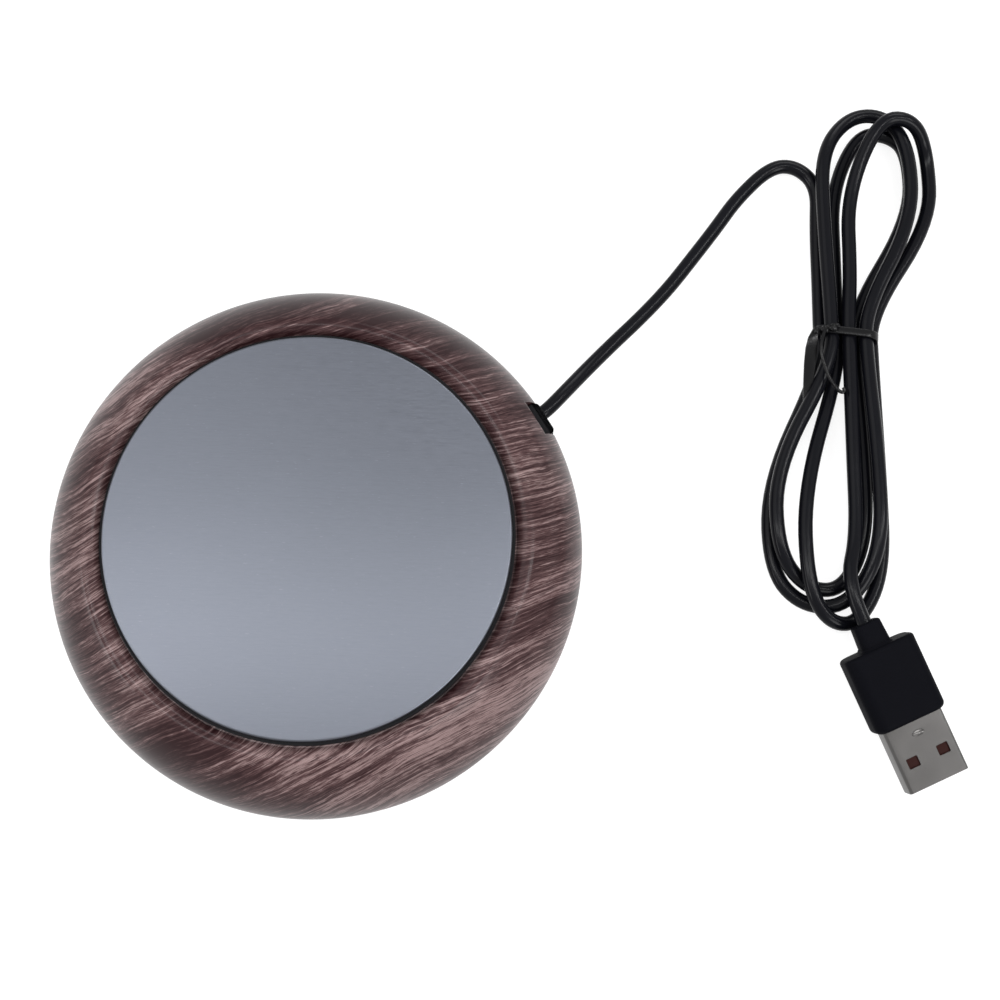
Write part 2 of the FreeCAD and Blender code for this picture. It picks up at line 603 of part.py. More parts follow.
def make_base_cover(doc):
    """The black base: a floor with a rim, screw bosses with wells, foot seats and the clamp's posts."""
    rim_in = f"({COVER_RADIUS} - {S}cover_rim_wall)"
    rim_top = f"({FLOOR} + {S}cover_rim_height)"
    body = turned_body(doc, "base_cover", [
        ("0", f"{S}underside_height"), (COVER_RADIUS, f"{S}underside_height"), (COVER_RADIUS, rim_top),
        (rim_in, rim_top), (rim_in, FLOOR), ("0", FLOOR)])
    boss_sketch = new_sketch(body, "cover_boss_outline", "XY_Plane", f"{S}underside_height")
    disc(boss_sketch, SCREW_CIRCLE, "0", f"{S}boss_radius + {S}cover_boss_extra")
    boss = pad(body, boss_sketch, "cover_boss", f"{S}cover_thickness + {S}cover_boss_height")
    well_sketch = new_sketch(body, "well_outline", "XY_Plane", f"{S}underside_height")
    disc(well_sketch, SCREW_CIRCLE, "0", f"{S}screw_head_radius + {S}screw_clearance")
    well = pocket(body, well_sketch, "screw_well", f"{S}screw_head_depth", True)
    hole_sketch = new_sketch(body, "screw_hole_outline", "XY_Plane", f"{S}underside_height")
    disc(hole_sketch, SCREW_CIRCLE, "0", f"{S}screw_shank_radius + {S}screw_clearance")
    hole = pocket(body, hole_sketch, "screw_hole", f"{S}cover_thickness + {S}cover_boss_height", True)
    ring_pattern(body, [boss, well, hole], "cover_bosses", f"{S}screw_count")
    seat_sketch = new_sketch(body, "foot_seat_outline", "XY_Plane", f"{S}underside_height")
    for bearing in FOOT_BEARINGS:
        disc(seat_sketch, f"{FOOT_CIRCLE} * cos({bearing} deg)", f"{FOOT_CIRCLE} * sin({bearing} deg)",
             f"{S}foot_radius + {S}foot_clearance")
    pocket(body, seat_sketch, "foot_seats", f"{S}foot_sink", True)
    notch = new_sketch(body, "cord_notch_outline", "XY_Plane", FLOOR, f"{S}cord_bearing")
    half = f"({S}grommet_flange_width / 2 + {S}grommet_clearance)"
    rectangle(notch, f"{GROMMET_INNER} - {S}grommet_clearance", BODY_RADIUS,
              f"-{S}slot_shift - {half}", f"-{S}slot_shift + {half}")
    pocket(body, notch, "cord_notch", f"{S}cover_rim_height + {OVERCUT}", True)
    post_sketch = new_sketch(body, "clamp_post_outline", "XY_Plane", FLOOR, f"{S}cord_bearing")
    near = f"({CLAMP_PLACE} - {S}clamp_length / 2)"
    far = f"({CLAMP_PLACE} + {S}clamp_length / 2)"
    wide = f"({S}clamp_width / 2)"
    rectangle(post_sketch, near, far, f"-{wide}", wide)
    pad(body, post_sketch, "clamp_post", f"{S}cord_height - {S}clamp_clearance - {FLOOR}")
    groove_sketch = new_sketch(body, "clamp_groove_outline", "XY_Plane",
                               f"{S}cord_height - {S}clamp_clearance", f"{S}cord_bearing")
    groove = f"({S}cord_diameter / 2 + {S}clamp_clearance)"
    rectangle(groove_sketch, f"{near} - {OVERCUT}", f"{far} + {OVERCUT}", f"-{groove}", groove)
    pocket(body, groove_sketch, "clamp_groove", f"{S}cord_diameter / 2")
    hole_sketch = new_sketch(body, "clamp_hole_outline", "XY_Plane",
                             f"{S}cord_height - {S}clamp_clearance", f"{S}cord_bearing")
    for side in ("", "-"):
        disc(hole_sketch, CLAMP_PLACE, f"{side}{S}clamp_screw_place",
             f"{S}small_shank_radius + {S}screw_clearance / 2")
    pocket(body, hole_sketch, "clamp_holes", f"{S}cord_height - {S}clamp_clearance - {FLOOR}")
    return body


def make_base_screws(doc):
    screws = []
    for number in range(int(VALUE["screw_count"])):
        bearing = f"({number} * 360 / {S}screw_count * 1 deg)"
        screw = pan_screw(doc, f"base_screw_{number + 1}", f"{S}screw_head_radius", f"{S}screw_head_height",
                          f"{S}screw_shank_radius", f"{S}screw_length")
        bind_place(screw, f"{SCREW_CIRCLE} * cos({bearing})", f"{SCREW_CIRCLE} * sin({bearing})",
                   f"{S}underside_height + {S}screw_head_depth")
        screws.append(screw)
    return group(doc, "base_screws", screws)


def make_rubber_feet(doc):
    feet = []
    for bearing in FOOT_BEARINGS:
        blank = cylinder(doc, f"foot_blank_{bearing}", f"{S}foot_radius", f"{S}underside_height + {S}foot_sink")
        bind_place(blank, f"{FOOT_CIRCLE} * cos({bearing} deg)", f"{FOOT_CIRCLE} * sin({bearing} deg)")
        foot = doc.addObject("Part::Chamfer", f"foot_{bearing}")
        foot.Base = blank
        doc.recompute()
        rim = [number + 1 for number, edge in enumerate(blank.Shape.Edges) if is_ring(edge, 0.0)]
        chamfer = VALUE["foot_chamfer"]
        foot.Edges = [(number, chamfer, chamfer) for number in rim]
        feet.append(foot)
    return group(doc, "rubber_feet", feet)


def make_cord_grommet(doc):
    """The black block in the cord slot: an outer block, a flange inside the dome and a round collar."""
    body = new_body(doc, "cord_grommet")
    right = f"({SLOT_RIGHT} + {S}grommet_clearance)"
    left = f"({SLOT_LEFT} - {S}grommet_clearance)"
    outer_near = f"({COVER_RADIUS} + {S}cover_clearance / 2)"
    web = new_sketch(body, "grommet_web_outline", "XY_Plane", FLOOR, f"{S}cord_bearing")
    rectangle(web, f"{GROMMET_INNER} + {OVERCUT}", f"{outer_near} + {OVERCUT}", right, left)
    pad(body, web, "grommet_web", f"{GROMMET_TOP} - {FLOOR}")
    outer = new_sketch(body, "grommet_outline", "XY_Plane", f"{S}underside_height", f"{S}cord_bearing")
    rectangle(outer, outer_near, GROMMET_FACE, right, left)
    block = pad(body, outer, "grommet_block", f"{GROMMET_TOP} - {S}underside_height")
    fillet(body, block, "grommet_edges", f"{S}grommet_round", grommet_edge_wanted)
    flange = new_sketch(body, "grommet_flange_outline", "XY_Plane", FLOOR, f"{S}cord_bearing")
    wide = f"({S}grommet_flange_width / 2)"
    rectangle(flange, GROMMET_INNER, f"{GROMMET_INNER} + {S}grommet_flange_thickness",
              f"-{S}slot_shift - {wide}", f"-{S}slot_shift + {wide}")
    pad(body, flange, "grommet_flange", f"{GROMMET_TOP} - {FLOOR}")
    collar = new_sketch(body, "collar_outline", "YZ_Plane")
    collar.AttachmentOffset = Placement(Vector(0, 0, 0), Rotation(Vector(0, 1, 0), 1.0))
    collar.setExpression("AttachmentOffset.Rotation.Angle", f"{S}cord_bearing")
    collar.setExpression("AttachmentOffset.Base.x", f"{GROMMET_FACE} * sin({S}cord_bearing * 1 deg)")
    collar.setExpression("AttachmentOffset.Base.z", f"{GROMMET_FACE} * cos({S}cord_bearing * 1 deg)")
    disc(collar, "0", f"{S}cord_height", f"{S}collar_radius")
    pad(body, collar, "collar", f"{S}collar_length")
    return body


def grommet_edge_wanted(edge):
    """The outer block's two upright corners and its long top edges."""
    top = VALUE["cord_height"] + VALUE["grommet_rise"]
    extent = edge.BoundBox
    upright = extent.XLength < 0.01 and extent.YLength < 0.01
    outer = math.hypot(extent.Center.x, extent.Center.y) > body_radius - VALUE["slot_depth"]
    level_top = abs(extent.ZMin - top) < 0.01 and abs(extent.ZMax - top) < 0.01
    return outer and (upright or level_top)


def on_cord_line(doc, name, pieces):
    """Group pieces that were made along +X, and turn them to the cord's bearing."""
    whole = group(doc, name, pieces)
    bind_place(whole, bearing=f"{S}cord_bearing")
    return whole


def make_cord_clamp(doc):
    """The saddle over the cord, seated on the base cover's post."""
    body = new_body(doc, "clamp_body")
    sketch = new_sketch(body, "clamp_section", "YZ_Plane", f"{CLAMP_PLACE} - {S}clamp_length / 2")
    low = f"({S}cord_height - {S}clamp_clearance)"
    high = f"({S}cord_height + {S}clamp_thickness)"
    groove = f"({S}cord_diameter / 2 + {S}clamp_clearance)"
    roof = f"({S}cord_height + {S}cord_diameter / 2 + {S}clamp_clearance)"
    wide = f"({S}clamp_width / 2)"
    outline(sketch, [(groove, low), (wide, low), (wide, high), (f"-{wide}", high), (f"-{wide}", low),
                     (f"-{groove}", low), (f"-{groove}", roof), (groove, roof)])
    pad(body, sketch, "clamp_saddle", f"{S}clamp_length")
    holes = new_sketch(body, "clamp_screw_outline", "XY_Plane", low)
    for side in ("", "-"):
        disc(holes, CLAMP_PLACE, f"{side}{S}clamp_screw_place",
             f"{S}small_shank_radius + {S}screw_clearance / 2")
    pocket(body, holes, "clamp_screw_holes", f"{high} - {low}", True)
    return on_cord_line(doc, "cord_clamp", [body])


def make_clamp_screws(doc):
    screws = []
    for name, side in (("clamp_screw_left", ""), ("clamp_screw_right", "-")):
        screw = pan_screw(doc, name, f"{S}small_head_radius", f"{S}small_head_height", f"{S}small_shank_radius",
                          f"{S}cord_height + {S}clamp_thickness - {FLOOR} - {S}screw_clearance", True)
        bind_place(screw, CLAMP_PLACE, f"{side}{S}clamp_screw_place", f"{S}cord_height + {S}clamp_thickness")
        screws.append(screw)
    return on_cord_line(doc, "clamp_screws", screws)


def make_cord_tail(doc):
    """The cord inside the housing, from the grommet through the clamp to where its jacket ends."""
    jacket = cylinder(doc, "cord_tail_jacket", f"{S}cord_diameter / 2",
                      f"{GROMMET_INNER} - {TAIL_END}")
    jacket.Placement = Placement(Vector(0, 0, 0), Rotation(Vector(0, 1, 0), 90))
    bind_place(jacket, TAIL_END, None, f"{S}cord_height")
    return on_cord_line(doc, "cord_tail", [jacket])


def make_crimp_caps(doc):
    """Closed caps, mouth outwards, that join the cord's two cores to the wires."""
    caps = []
    for name, side in (("cap_supply", ""), ("cap_return", "-")):
        blank = cylinder(doc, f"{name}_blank", f"{S}cap_radius", f"{S}cap_length")
        blank.Placement = Placement(Vector(0, 0, 0), Rotation(Vector(0, 1, 0), -90))
        bind_place(blank, CAP_MOUTH, f"{side}{S}cap_spread", f"{S}cord_height")
        cap = doc.addObject("Part::Fillet", name)
        cap.Base = blank
        doc.recompute()
        closed_end = cap_mouth - VALUE["cap_length"]
        ends = [number + 1 for number, edge in enumerate(blank.Shape.Edges)
                if abs(edge.BoundBox.XMax - closed_end) < 0.01]
        rounding = VALUE["cap_round"]
        cap.Edges = [(number, rounding, rounding) for number in ends]
        caps.append(cap)
    return on_cord_line(doc, "crimp_caps", caps)


def radial(distance, aside, height):
    """A point given along and beside the cord's line through the middle of the warmer."""
    bearing = math.radians(VALUE["cord_bearing"])
    along = Vector(math.cos(bearing), math.sin(bearing), 0)
    across = Vector(-math.sin(bearing), math.cos(bearing), 0)
    return along * distance + across * aside + Vector(0, 0, height)


def rounded_path(points):
    """Straight runs joined by tangent arcs, each as large as 0.45 of its shorter run allows."""
    edges = []
    radii = []
    here = points[0]
    for before, corner, after in zip(points, points[1:], points[2:]):
        back = before - corner
        onward = after - corner
        setback = 0.45 * min(back.Length, onward.Length)
        back.normalize()
        onward.normalize()
        half_turn = (math.pi - back.getAngle(onward)) / 2
        radius = setback / math.tan(half_turn)
        radii.append(radius)
        into = corner + back * setback
        out = corner + onward * setback
        bisector = (back + onward).normalize()
        middle = corner + bisector * (math.hypot(radius, setback) - radius)
        edges.append(Part.LineSegment(here, into).toShape())
        edges.append(Part.Arc(into, middle, out).toShape())
        here = out
    edges.append(Part.LineSegment(here, points[-1]).toShape())
    return Part.Wire(edges), radii


def swept_round(path, diameter, start, heading):
    """Sweep a circle along a path."""
    circle = Part.Wire([Part.Circle(start, heading, diameter / 2).toShape()])
    return path.makePipeShell([circle], True, False)


def round_tube(points, diameter):
    path, radii = rounded_path(points)
    return swept_round(path, diameter, points[0], points[1] - points[0]), path, radii


def shaped(doc, name, shape):
    """Keep a shape made in code as one object of the document."""
    piece = doc.addObject("Part::Feature", name)
    piece.Shape = shape
    piece.Label = name
    return piece


def make_cord_cores(doc):
    """The two cores that leave the cord's jacket and go into the caps' mouths."""
    height = VALUE["cord_height"]
    reach = VALUE["core_reach"]
    near = (VALUE["wire_diameter"] + VALUE["core_gap"]) / 2
    cores = []
    for side in (1, -1):
        far = side * (VALUE["cap_spread"] - VALUE["core_inset"])
        points = [radial(tail_end, side * near, height), radial(tail_end - reach, side * near, height),
                  radial(cap_mouth + reach, far, height), radial(cap_mouth, far, height)]
        tube, path, radii = round_tube(points, VALUE["wire_diameter"])
        cores.append(tube)
    return shaped(doc, "cord_cores", Part.makeCompound(cores))


def make_wires(doc):
    """The three wires: cap to cutout, cutout to heater, heater back to the other cap."""
    height = VALUE["cord_height"]
    reach = VALUE["wire_reach"]
    aside = VALUE["cap_spread"] + VALUE["core_inset"]
    end = VALUE["cutout_length"] / 2
    middle = retainer_under - VALUE["cutout_height"] / 2
    film_under = plate_under - VALUE["film_thickness"]
    slot = -VALUE["lead_slot_place"]
    lead = reach / 2
    routes = {
        "wire_supply": [
            radial(cap_mouth, aside, height), radial(cap_mouth + 0.8 * reach, aside, height),
            radial(cap_mouth + reach, 0.5 * reach, height + reach),
            Vector(end + 2 * reach, 1.1 * reach, middle - 0.2 * reach),
            Vector(end + reach, 0, middle), Vector(end, 0, middle)],
        "wire_link": [
            Vector(-end, 0, middle), Vector(-end - reach, 0, middle),
            Vector(-end - 1.6 * reach, -1.2 * reach, middle - 0.4 * reach),
            Vector(-lead - 1.3 * reach, slot + 0.6 * reach, middle - 0.7 * reach),
            Vector(-lead - 0.16 * reach, slot - 0.06 * reach, middle - 0.5 * reach),
            Vector(-lead, slot, middle + 0.3 * reach), Vector(-lead, slot, film_under)],
        "wire_return": [
            radial(cap_mouth, -aside, height), radial(cap_mouth + 0.8 * reach, -aside, height),
            Vector(cap_mouth + 0.9 * reach, 0.3 * reach, height + 0.7 * reach),
            Vector(end + 1.6 * reach, -2.2 * reach, middle - 0.8 * reach),
            Vector(lead + 1.1 * reach, slot + 0.4 * reach, middle - 0.8 * reach),
            Vector(lead + 0.16 * reach, slot - 0.06 * reach, middle - 0.5 * reach),
            Vector(lead, slot, middle + 0.3 * reach), Vector(lead, slot, film_under)],
    }
    wires = []
    for name, points in routes.items():
        tube, path, radii = round_tube(points, VALUE["wire_diameter"])
        wires.append(shaped(doc, name, tube))
    return wires


def plug_pose():
    """Where the plug lies: its own +X runs from the cord to the tip, which rests on the table."""
    turn = Rotation(Vector(0, 0, 1), VALUE["plug_heading"])
    pitch = Rotation(Vector(0, 1, 0), VALUE["plug_pitch"])
    rotation = turn.multiply(pitch)
    slope = math.radians(VALUE["plug_pitch"])
    tip_height = VALUE["shell_thickness"] / 2 * math.cos(slope) + VALUE["table_gap"]
    tip = Vector(VALUE["plug_tip_x"], VALUE["plug_tip_y"], tip_height)
    length = VALUE["plug_neck_length"] + VALUE["plug_length"] + VALUE["shell_length"]
    heading = rotation.multVec(Vector(1, 0, 0))
    return Placement(tip - heading * length, rotation)


def edge_along_x(edge):
    extent = edge.BoundBox
    return extent.XLength > 1 and extent.YLength < 0.01 and extent.ZLength < 0.01


MOULD_START = f"({S}plug_neck_length)"
MOULD_END = f"({S}plug_neck_length + {S}plug_length)"
SHELL_START = f"({MOULD_END} - {S}shell_sink)"
PLUG_TIP = f"({MOULD_END} + {S}shell_length)"


def centred_rectangle(sketch, width, height):
    rectangle(sketch, f"-({width}) / 2", f"({width}) / 2", f"-({height}) / 2", f"({height}) / 2")


def make_plug_overmould(doc):
    """The plug's moulding with a short neck, and the hole that holds the metal shell."""
    body = new_body(doc, "plug_overmould")
    section = new_sketch(body, "mould_section", "YZ_Plane", MOULD_START)
    centred_rectangle(section, f"{S}plug_width", f"{S}plug_thickness")
    block = pad(body, section, "mould_block", f"{S}plug_length")
    rounded = fillet(body, block, "mould_long_edges", f"{S}plug_corner_round", edge_along_x)
    start = VALUE["plug_neck_length"]
    end = start + VALUE["plug_length"]
    fillet(body, rounded, "mould_end_edges", f"{S}plug_end_round",
           lambda edge: edge.BoundBox.XLength < 0.01 and min(abs(edge.BoundBox.XMax - start),
                                                              abs(edge.BoundBox.XMax - end)) < 0.01)
    neck_section = new_sketch(body, "neck_section", "YZ_Plane")
    centred_rectangle(neck_section, f"{S}plug_neck_width", f"{S}plug_neck_thickness")
    neck = pad(body, neck_section, "neck", f"{S}plug_neck_length + {OVERCUT}")
    fillet(body, neck, "neck_edges", f"{S}plug_neck_round",
           lambda edge: edge_along_x(edge) and edge.BoundBox.XMin < 0.01)
    hole = new_sketch(body, "shell_hole_section", "YZ_Plane", SHELL_START)
    centred_rectangle(hole, f"{S}shell_width + 2 * {S}shell_clearance",
                      f"{S}shell_thickness + 2 * {S}shell_clearance")
    pocket(body, hole, "shell_hole", f"{S}shell_sink + {OVERCUT}", True)
    body.Placement = plug_pose()
    return body


def make_plug_shell(doc):
    """The folded metal tube with its two pairs of windows."""
    body = new_body(doc, "plug_shell")
    section = new_sketch(body, "shell_section", "YZ_Plane", SHELL_START)
    centred_rectangle(section, f"{S}shell_width", f"{S}shell_thickness")
    tube = pad(body, section, "shell_tube", f"{S}shell_sink + {S}shell_length")
    fillet(body, tube, "shell_long_edges", f"{S}shell_corner_round", edge_along_x)
    bore = new_sketch(body, "shell_bore_section", "YZ_Plane", SHELL_START)
    centred_rectangle(bore, f"{S}shell_width - 2 * {S}shell_sheet", f"{S}shell_thickness - 2 * {S}shell_sheet")
    pocket(body, bore, "shell_bore", f"{S}shell_sink + {S}shell_length", True)
    windows = new_sketch(body, "window_outline", "XY_Plane", f"{S}shell_thickness / 2 + {OVERCUT}")
    middle = f"({PLUG_TIP} - {S}window_place)"
    for side in (f"{S}window_spread", f"-{S}window_spread"):
        rectangle(windows, f"{middle} - {S}window_length / 2", f"{middle} + {S}window_length / 2",
                  f"{side} - {S}window_width / 2", f"{side} + {S}window_width / 2")
    pocket(body, windows, "windows", f"{S}shell_thickness + 2 * {OVERCUT}")
    body.Placement = plug_pose()
    return body


def make_plug_tongue(doc):
    """The insulator: a full block behind, and a tongue along the shell's upper side."""
    body = new_body(doc, "plug_tongue")
    width = f"({S}shell_width - 2 * {S}shell_sheet - 2 * {S}tongue_clearance)"
    sketch = new_sketch(body, "tongue_section", "XZ_Plane", f"-{width} / 2")
    high = f"({S}shell_thickness / 2 - {S}shell_sheet - {S}tongue_clearance)"
    under = f"({high} - {S}tongue_thickness)"
    tip = f"({PLUG_TIP} - {S}tongue_setback)"
    outline(sketch, [(SHELL_START, f"-{high}"), (MOULD_END, f"-{high}"), (MOULD_END, under), (tip, under),
                     (tip, high), (SHELL_START, high)])
    pad(body, sketch, "tongue_block", width)
    body.Placement = plug_pose()
    return body


def make_plug_contacts(doc):
    contacts = []
    under = f"{S}shell_thickness / 2 - {S}shell_sheet - {S}tongue_clearance - {S}tongue_thickness"
    rows = (("outer_left", f"{S}contact_outer_pitch", "0"), ("inner_left", f"{S}contact_inner_pitch", "1"),
            ("inner_right", f"-{S}contact_inner_pitch", "1"), ("outer_right", f"-{S}contact_outer_pitch", "0"))
    for name, middle, back in rows:
        strip = box(doc, f"contact_{name}", f"{S}contact_length", f"{S}contact_width", f"{S}contact_thickness")
        bind_place(strip, f"{PLUG_TIP} - {S}tongue_setback - {S}contact_setback - {back} - {S}contact_length",
                   f"{middle} - {S}contact_width / 2", f"{under} - {S}contact_thickness")
        contacts.append(strip)
    whole = group(doc, "plug_contacts", contacts)
    whole.Placement = plug_pose()
    return whole


# The cord's free stretch, from the collar over the table to the hank, after its first point
LEAD_ROUTE = [
    (47.2, 30.9, 5.0), (51.2, 36.1, 3.0), (56.4, 41.6, 1.6), (62.2, 47.2, 1.45), (67.8, 53.2, 1.45),
    (72.9, 59.8, 1.45), (77.4, 65.7, 1.45), (82.0, 72.2, 1.45), (88.8, 78.8, 1.45), (93.9, 79.0, 1.45),
    (97.6, 75.4, 1.45),
]

# Each turn of the hank leaves the waist by a slot, goes round a lower loop, comes back through
# another slot and goes round an upper loop. A slot is given in pitches from the waist's middle
# and a layer, and a loop by three places from the waist's middle: the flank it goes out by,
# its end and the flank it comes back by. A slope is the cord's rise at the loop's end.
DOWN_SLOTS = [(-1.5, 0), (-1.0, 1), (-0.5, 0), (0.0, 1)]
UP_SLOTS = [(1.0, 1), (0.5, 0), (1.5, 0)]
LOWER_LOOPS = [
    [(-16.2, -41.1, 1.5), (-6.1, -52.8, 2.2), (4.5, -34.7, 5.9)],
    [(-15.2, -38.0, 5.2), (-5.1, -49.5, 1.6), (2.3, -32.2, 3.1)],
    [(-10.0, -43.8, 6.0), (-3.4, -56.2, 3.6), (5.6, -38.8, 1.5)],
]
UPPER_LOOPS = [
    [(13.7, 33.7, 5.2), (6.6, 46.1, 4.0), (-3.0, 26.7, 5.4)],
    [(14.4, 36.6, 1.5), (8.2, 43.1, 1.6), (-1.4, 22.1, 1.45)],
    [(18.2, 35.0, 1.9), (11.5, 43.9, 7.7), (1.0, 18.5, 4.8)],
]
LOWER_SLOPES = [0.16, -0.08, -0.35]
UPPER_SLOPES = [-0.03, 0.05, 0.07]
HANK_START = (-4.67, 17.6, 1.45)
HANK_LAST = (-0.18, -33.8, 5.55)


def hank_place(offset):
    return Vector(VALUE["waist_x"], VALUE["waist_y"], 0) + Vector(*offset)


def waist_slot(slot):
    """The middle of a strand in the tie."""
    pitches, layer = slot
    low = VALUE["table_gap"] + VALUE["tie_thickness"] + VALUE["tie_clearance"] + VALUE["cord_diameter"] / 2
    return hank_place((pitches * VALUE["waist_pitch"], 0, low + layer * VALUE["waist_layer_rise"]))


def hank_stations():
    """The places and headings that the hank passes, in order, up to one diameter from the plug."""
    down = Vector(0, -1, 0)
    up = Vector(0, 1, 0)
    stations = [(hank_place(HANK_START), down)]
    for turn in range(len(LOWER_LOOPS)):
        stations.append((waist_slot(DOWN_SLOTS[turn]), down))
        across = Vector(1, 0, LOWER_SLOPES[turn]).normalize()
        for offset, heading in zip(LOWER_LOOPS[turn], (down, across, up)):
            stations.append((hank_place(offset), heading))
        stations.append((waist_slot(UP_SLOTS[turn]), up))
        back = Vector(-1, 0, UPPER_SLOPES[turn]).normalize()
        for offset, heading in zip(UPPER_LOOPS[turn], (up, back, down)):
            stations.append((hank_place(offset), heading))
    stations.append((waist_slot(DOWN_SLOTS[-1]), down))
    stations.append((hank_place(HANK_LAST), down))
    pose = plug_pose()
    heading = pose.Rotation.multVec(Vector(1, 0, 0))
    stations.append((pose.Base - heading * VALUE["cord_diameter"], heading))
    return stations


def biarc_corners(start, first, end, last):
    """The two corners of a pair of arcs that leave one place and reach another by given headings."""
    chord = end - start
    both = first + last
    fold = 2 * (1 - first.dot(last))
    if fold < 1e-6:
        reach = chord.dot(chord) / (4 * chord.dot(last))
    else:
        along = chord.dot(both)
        reach = (math.sqrt(along ** 2 + fold * chord.dot(chord)) - along) / fold
    return start + first * reach, end - last * reach


def arc_by_corner(start, corner, end):
    """The arc from one place to another that is tangent to both sides of its corner."""
    middle = (start + end) * 0.5
    rise = corner - middle
    half_chord = (end - start).Length / 2
    if rise.Length < 1e-4:
        return Part.LineSegment(start, end).toShape(), math.inf
    half_turn = math.atan2(rise.Length, half_chord)
    crown = middle + rise.normalize() * half_chord * math.tan(half_turn / 2)
    return Part.Arc(start, crown, end).toShape(), half_chord / math.sin(half_turn)


def hank_path():
    edges = []
    radii = []
    stations = hank_stations()
    for (start, first), (end, last) in zip(stations, stations[1:]):
        corner_one, corner_two = biarc_corners(start, first, end, last)
        join = (corner_one + corner_two) * 0.5
        for ends in ((start, corner_one, join), (join, corner_two, end)):
            edge, radius = arc_by_corner(*ends)
            edges.append(edge)
            radii.append(radius)
    edges.append(Part.LineSegment(stations[-1][0], plug_pose().Base).toShape())
    return Part.Wire(edges), radii


def least_gap(path, diameter, step=0.7):
    """The least gap between stretches of the cord that are not next to each other."""
    places = path.discretize(Distance=step)
    apart = int(3.2 * diameter / step)
    nearest = math.inf
    for number, here in enumerate(places):
        for there in places[number + apart:]:
            nearest = min(nearest, here.distanceToPoint(there))
    return nearest - diameter


def report_tube(name, tube, path, radii, diameter):
    """Print a tube's length and tightest bend, and its volume against section times length."""
    ratio = tube.Volume / (math.pi * diameter ** 2 / 4 * path.Length)
    print(f"{name}: length {path.Length:.1f}, volume ratio {ratio:.4f}, radii from {min(radii):.1f}")
    print(" ", " ".join(f"{radius:.1f}" for radius in radii if radius < 1000))


def make_cord_lead(doc):
    diameter = VALUE["cord_diameter"]
    face = body_radius - VALUE["grommet_face_inset"] + VALUE["collar_length"]
    points = [radial(face, 0, VALUE["cord_height"]), radial(face + 2.6, 0, VALUE["cord_height"])]
    points += [Vector(*place) for place in LEAD_ROUTE]
    last = hank_place(HANK_START)
    points += [last + Vector(0, 5.4, 0), last]
    tube, path, radii = round_tube(points, diameter)
    report_tube("cord_lead", tube, path, radii, diameter)
    return shaped(doc, "cord_lead", tube)


def make_cord_hank(doc):
    diameter = VALUE["cord_diameter"]
    path, radii = hank_path()
    start = hank_place(HANK_START)
    tube = swept_round(path, diameter, start, Vector(0, -1, 0))
    report_tube("cord_hank", tube, path, radii, diameter)
    print(f"cord_hank: least gap to itself {least_gap(path, diameter):.3f}")
    return shaped(doc, "cord_hank", tube)


def rounded_slab(width, height, corner, depth):
    """A slab with rounded corners, centred across, standing on z = 0, with its depth along +Y."""
    slab = Part.makeBox(width, depth, height, Vector(-width / 2, 0, 0))
    along = [edge for edge in slab.Edges if edge.BoundBox.YLength > depth / 2]
    return slab.makeFillet(corner, along)


def ribbon(points, width, thickness, flat=Vector(0, 0, 1)):
    """A flat strip along a route, whose thin side faces the given way at its start."""
    path, radii = rounded_path(points)
    heading = (points[1] - points[0]).normalize()
    across = flat.cross(heading).normalize() * (width / 2)
    rise = heading.cross(across).normalize() * (thickness / 2)
    here = points[0]
    corners = [here + across + rise, here - across + rise, here - across - rise, here + across - rise]
    section = Part.makePolygon(corners + corners[:1])
    return path.makePipeShell([section], True, False)


def make_twist_tie(doc):
    """The flat tie: a ring round the waist, a twisted knot on top of it and two loose ends."""
    thick = VALUE["tie_thickness"]
    gap = VALUE["tie_clearance"]
    radius = VALUE["cord_diameter"] / 2
    inner_width = 2 * (1.5 * VALUE["waist_pitch"] + radius + gap)
    wide = VALUE["tie_width"]
    inner_height = VALUE["waist_layer_rise"] + 2 * (radius + gap)
    outer = rounded_slab(inner_width + 2 * thick, inner_height + 2 * thick, radius + gap + thick, wide)
    inner = rounded_slab(inner_width, inner_height, radius + gap, wide)
    inner.translate(Vector(0, 0, thick))
    ring = outer.cut(inner)
    ring.translate(Vector(0, -wide / 2, 0))
    top = inner_height + 2 * thick
    knot_sections = []
    for step in range(9):
        here = Vector(-1.6 - 0.55 * step, 0.35, top + 0.35)
        turn = Rotation(Vector(1, 0, 0), 60 * step)
        half = [Vector(0, 1.0, 0.45), Vector(0, -1.0, 0.45), Vector(0, -1.0, -0.45), Vector(0, 1.0, -0.45)]
        corners = [here + turn.multVec(corner) for corner in half]
        knot_sections.append(Part.makePolygon(corners + corners[:1]))
    knot = Part.makeLoft(knot_sections, True, True)
    paddle = ribbon([Vector(-5.6, 0.4, top + 0.3), Vector(-6.6, -1.4, top + 0.2), Vector(-6.9, -4.6, top - 0.1),
                     Vector(-7.2, -8.4, top - 0.3), Vector(-7.3, -12.6, top - 0.35)],
                    VALUE["tie_tail_width"], thick)
    curl = ribbon([Vector(-4.6, 0.4, top + 0.2), Vector(-4.9, -2.4, top + 0.5), Vector(-3.9, -5.4, top + 0.5),
                   Vector(-2.6, -7.8, top + 0.4), Vector(-0.7, -9.8, top + 0.3)], thick + 0.3, thick)
    tie = ring.fuse([knot, paddle, curl])
    tie = tie.removeSplitter()
    tie.translate(hank_place((0, 0, VALUE["table_gap"])))
    return shaped(doc, "twist_tie", tie)


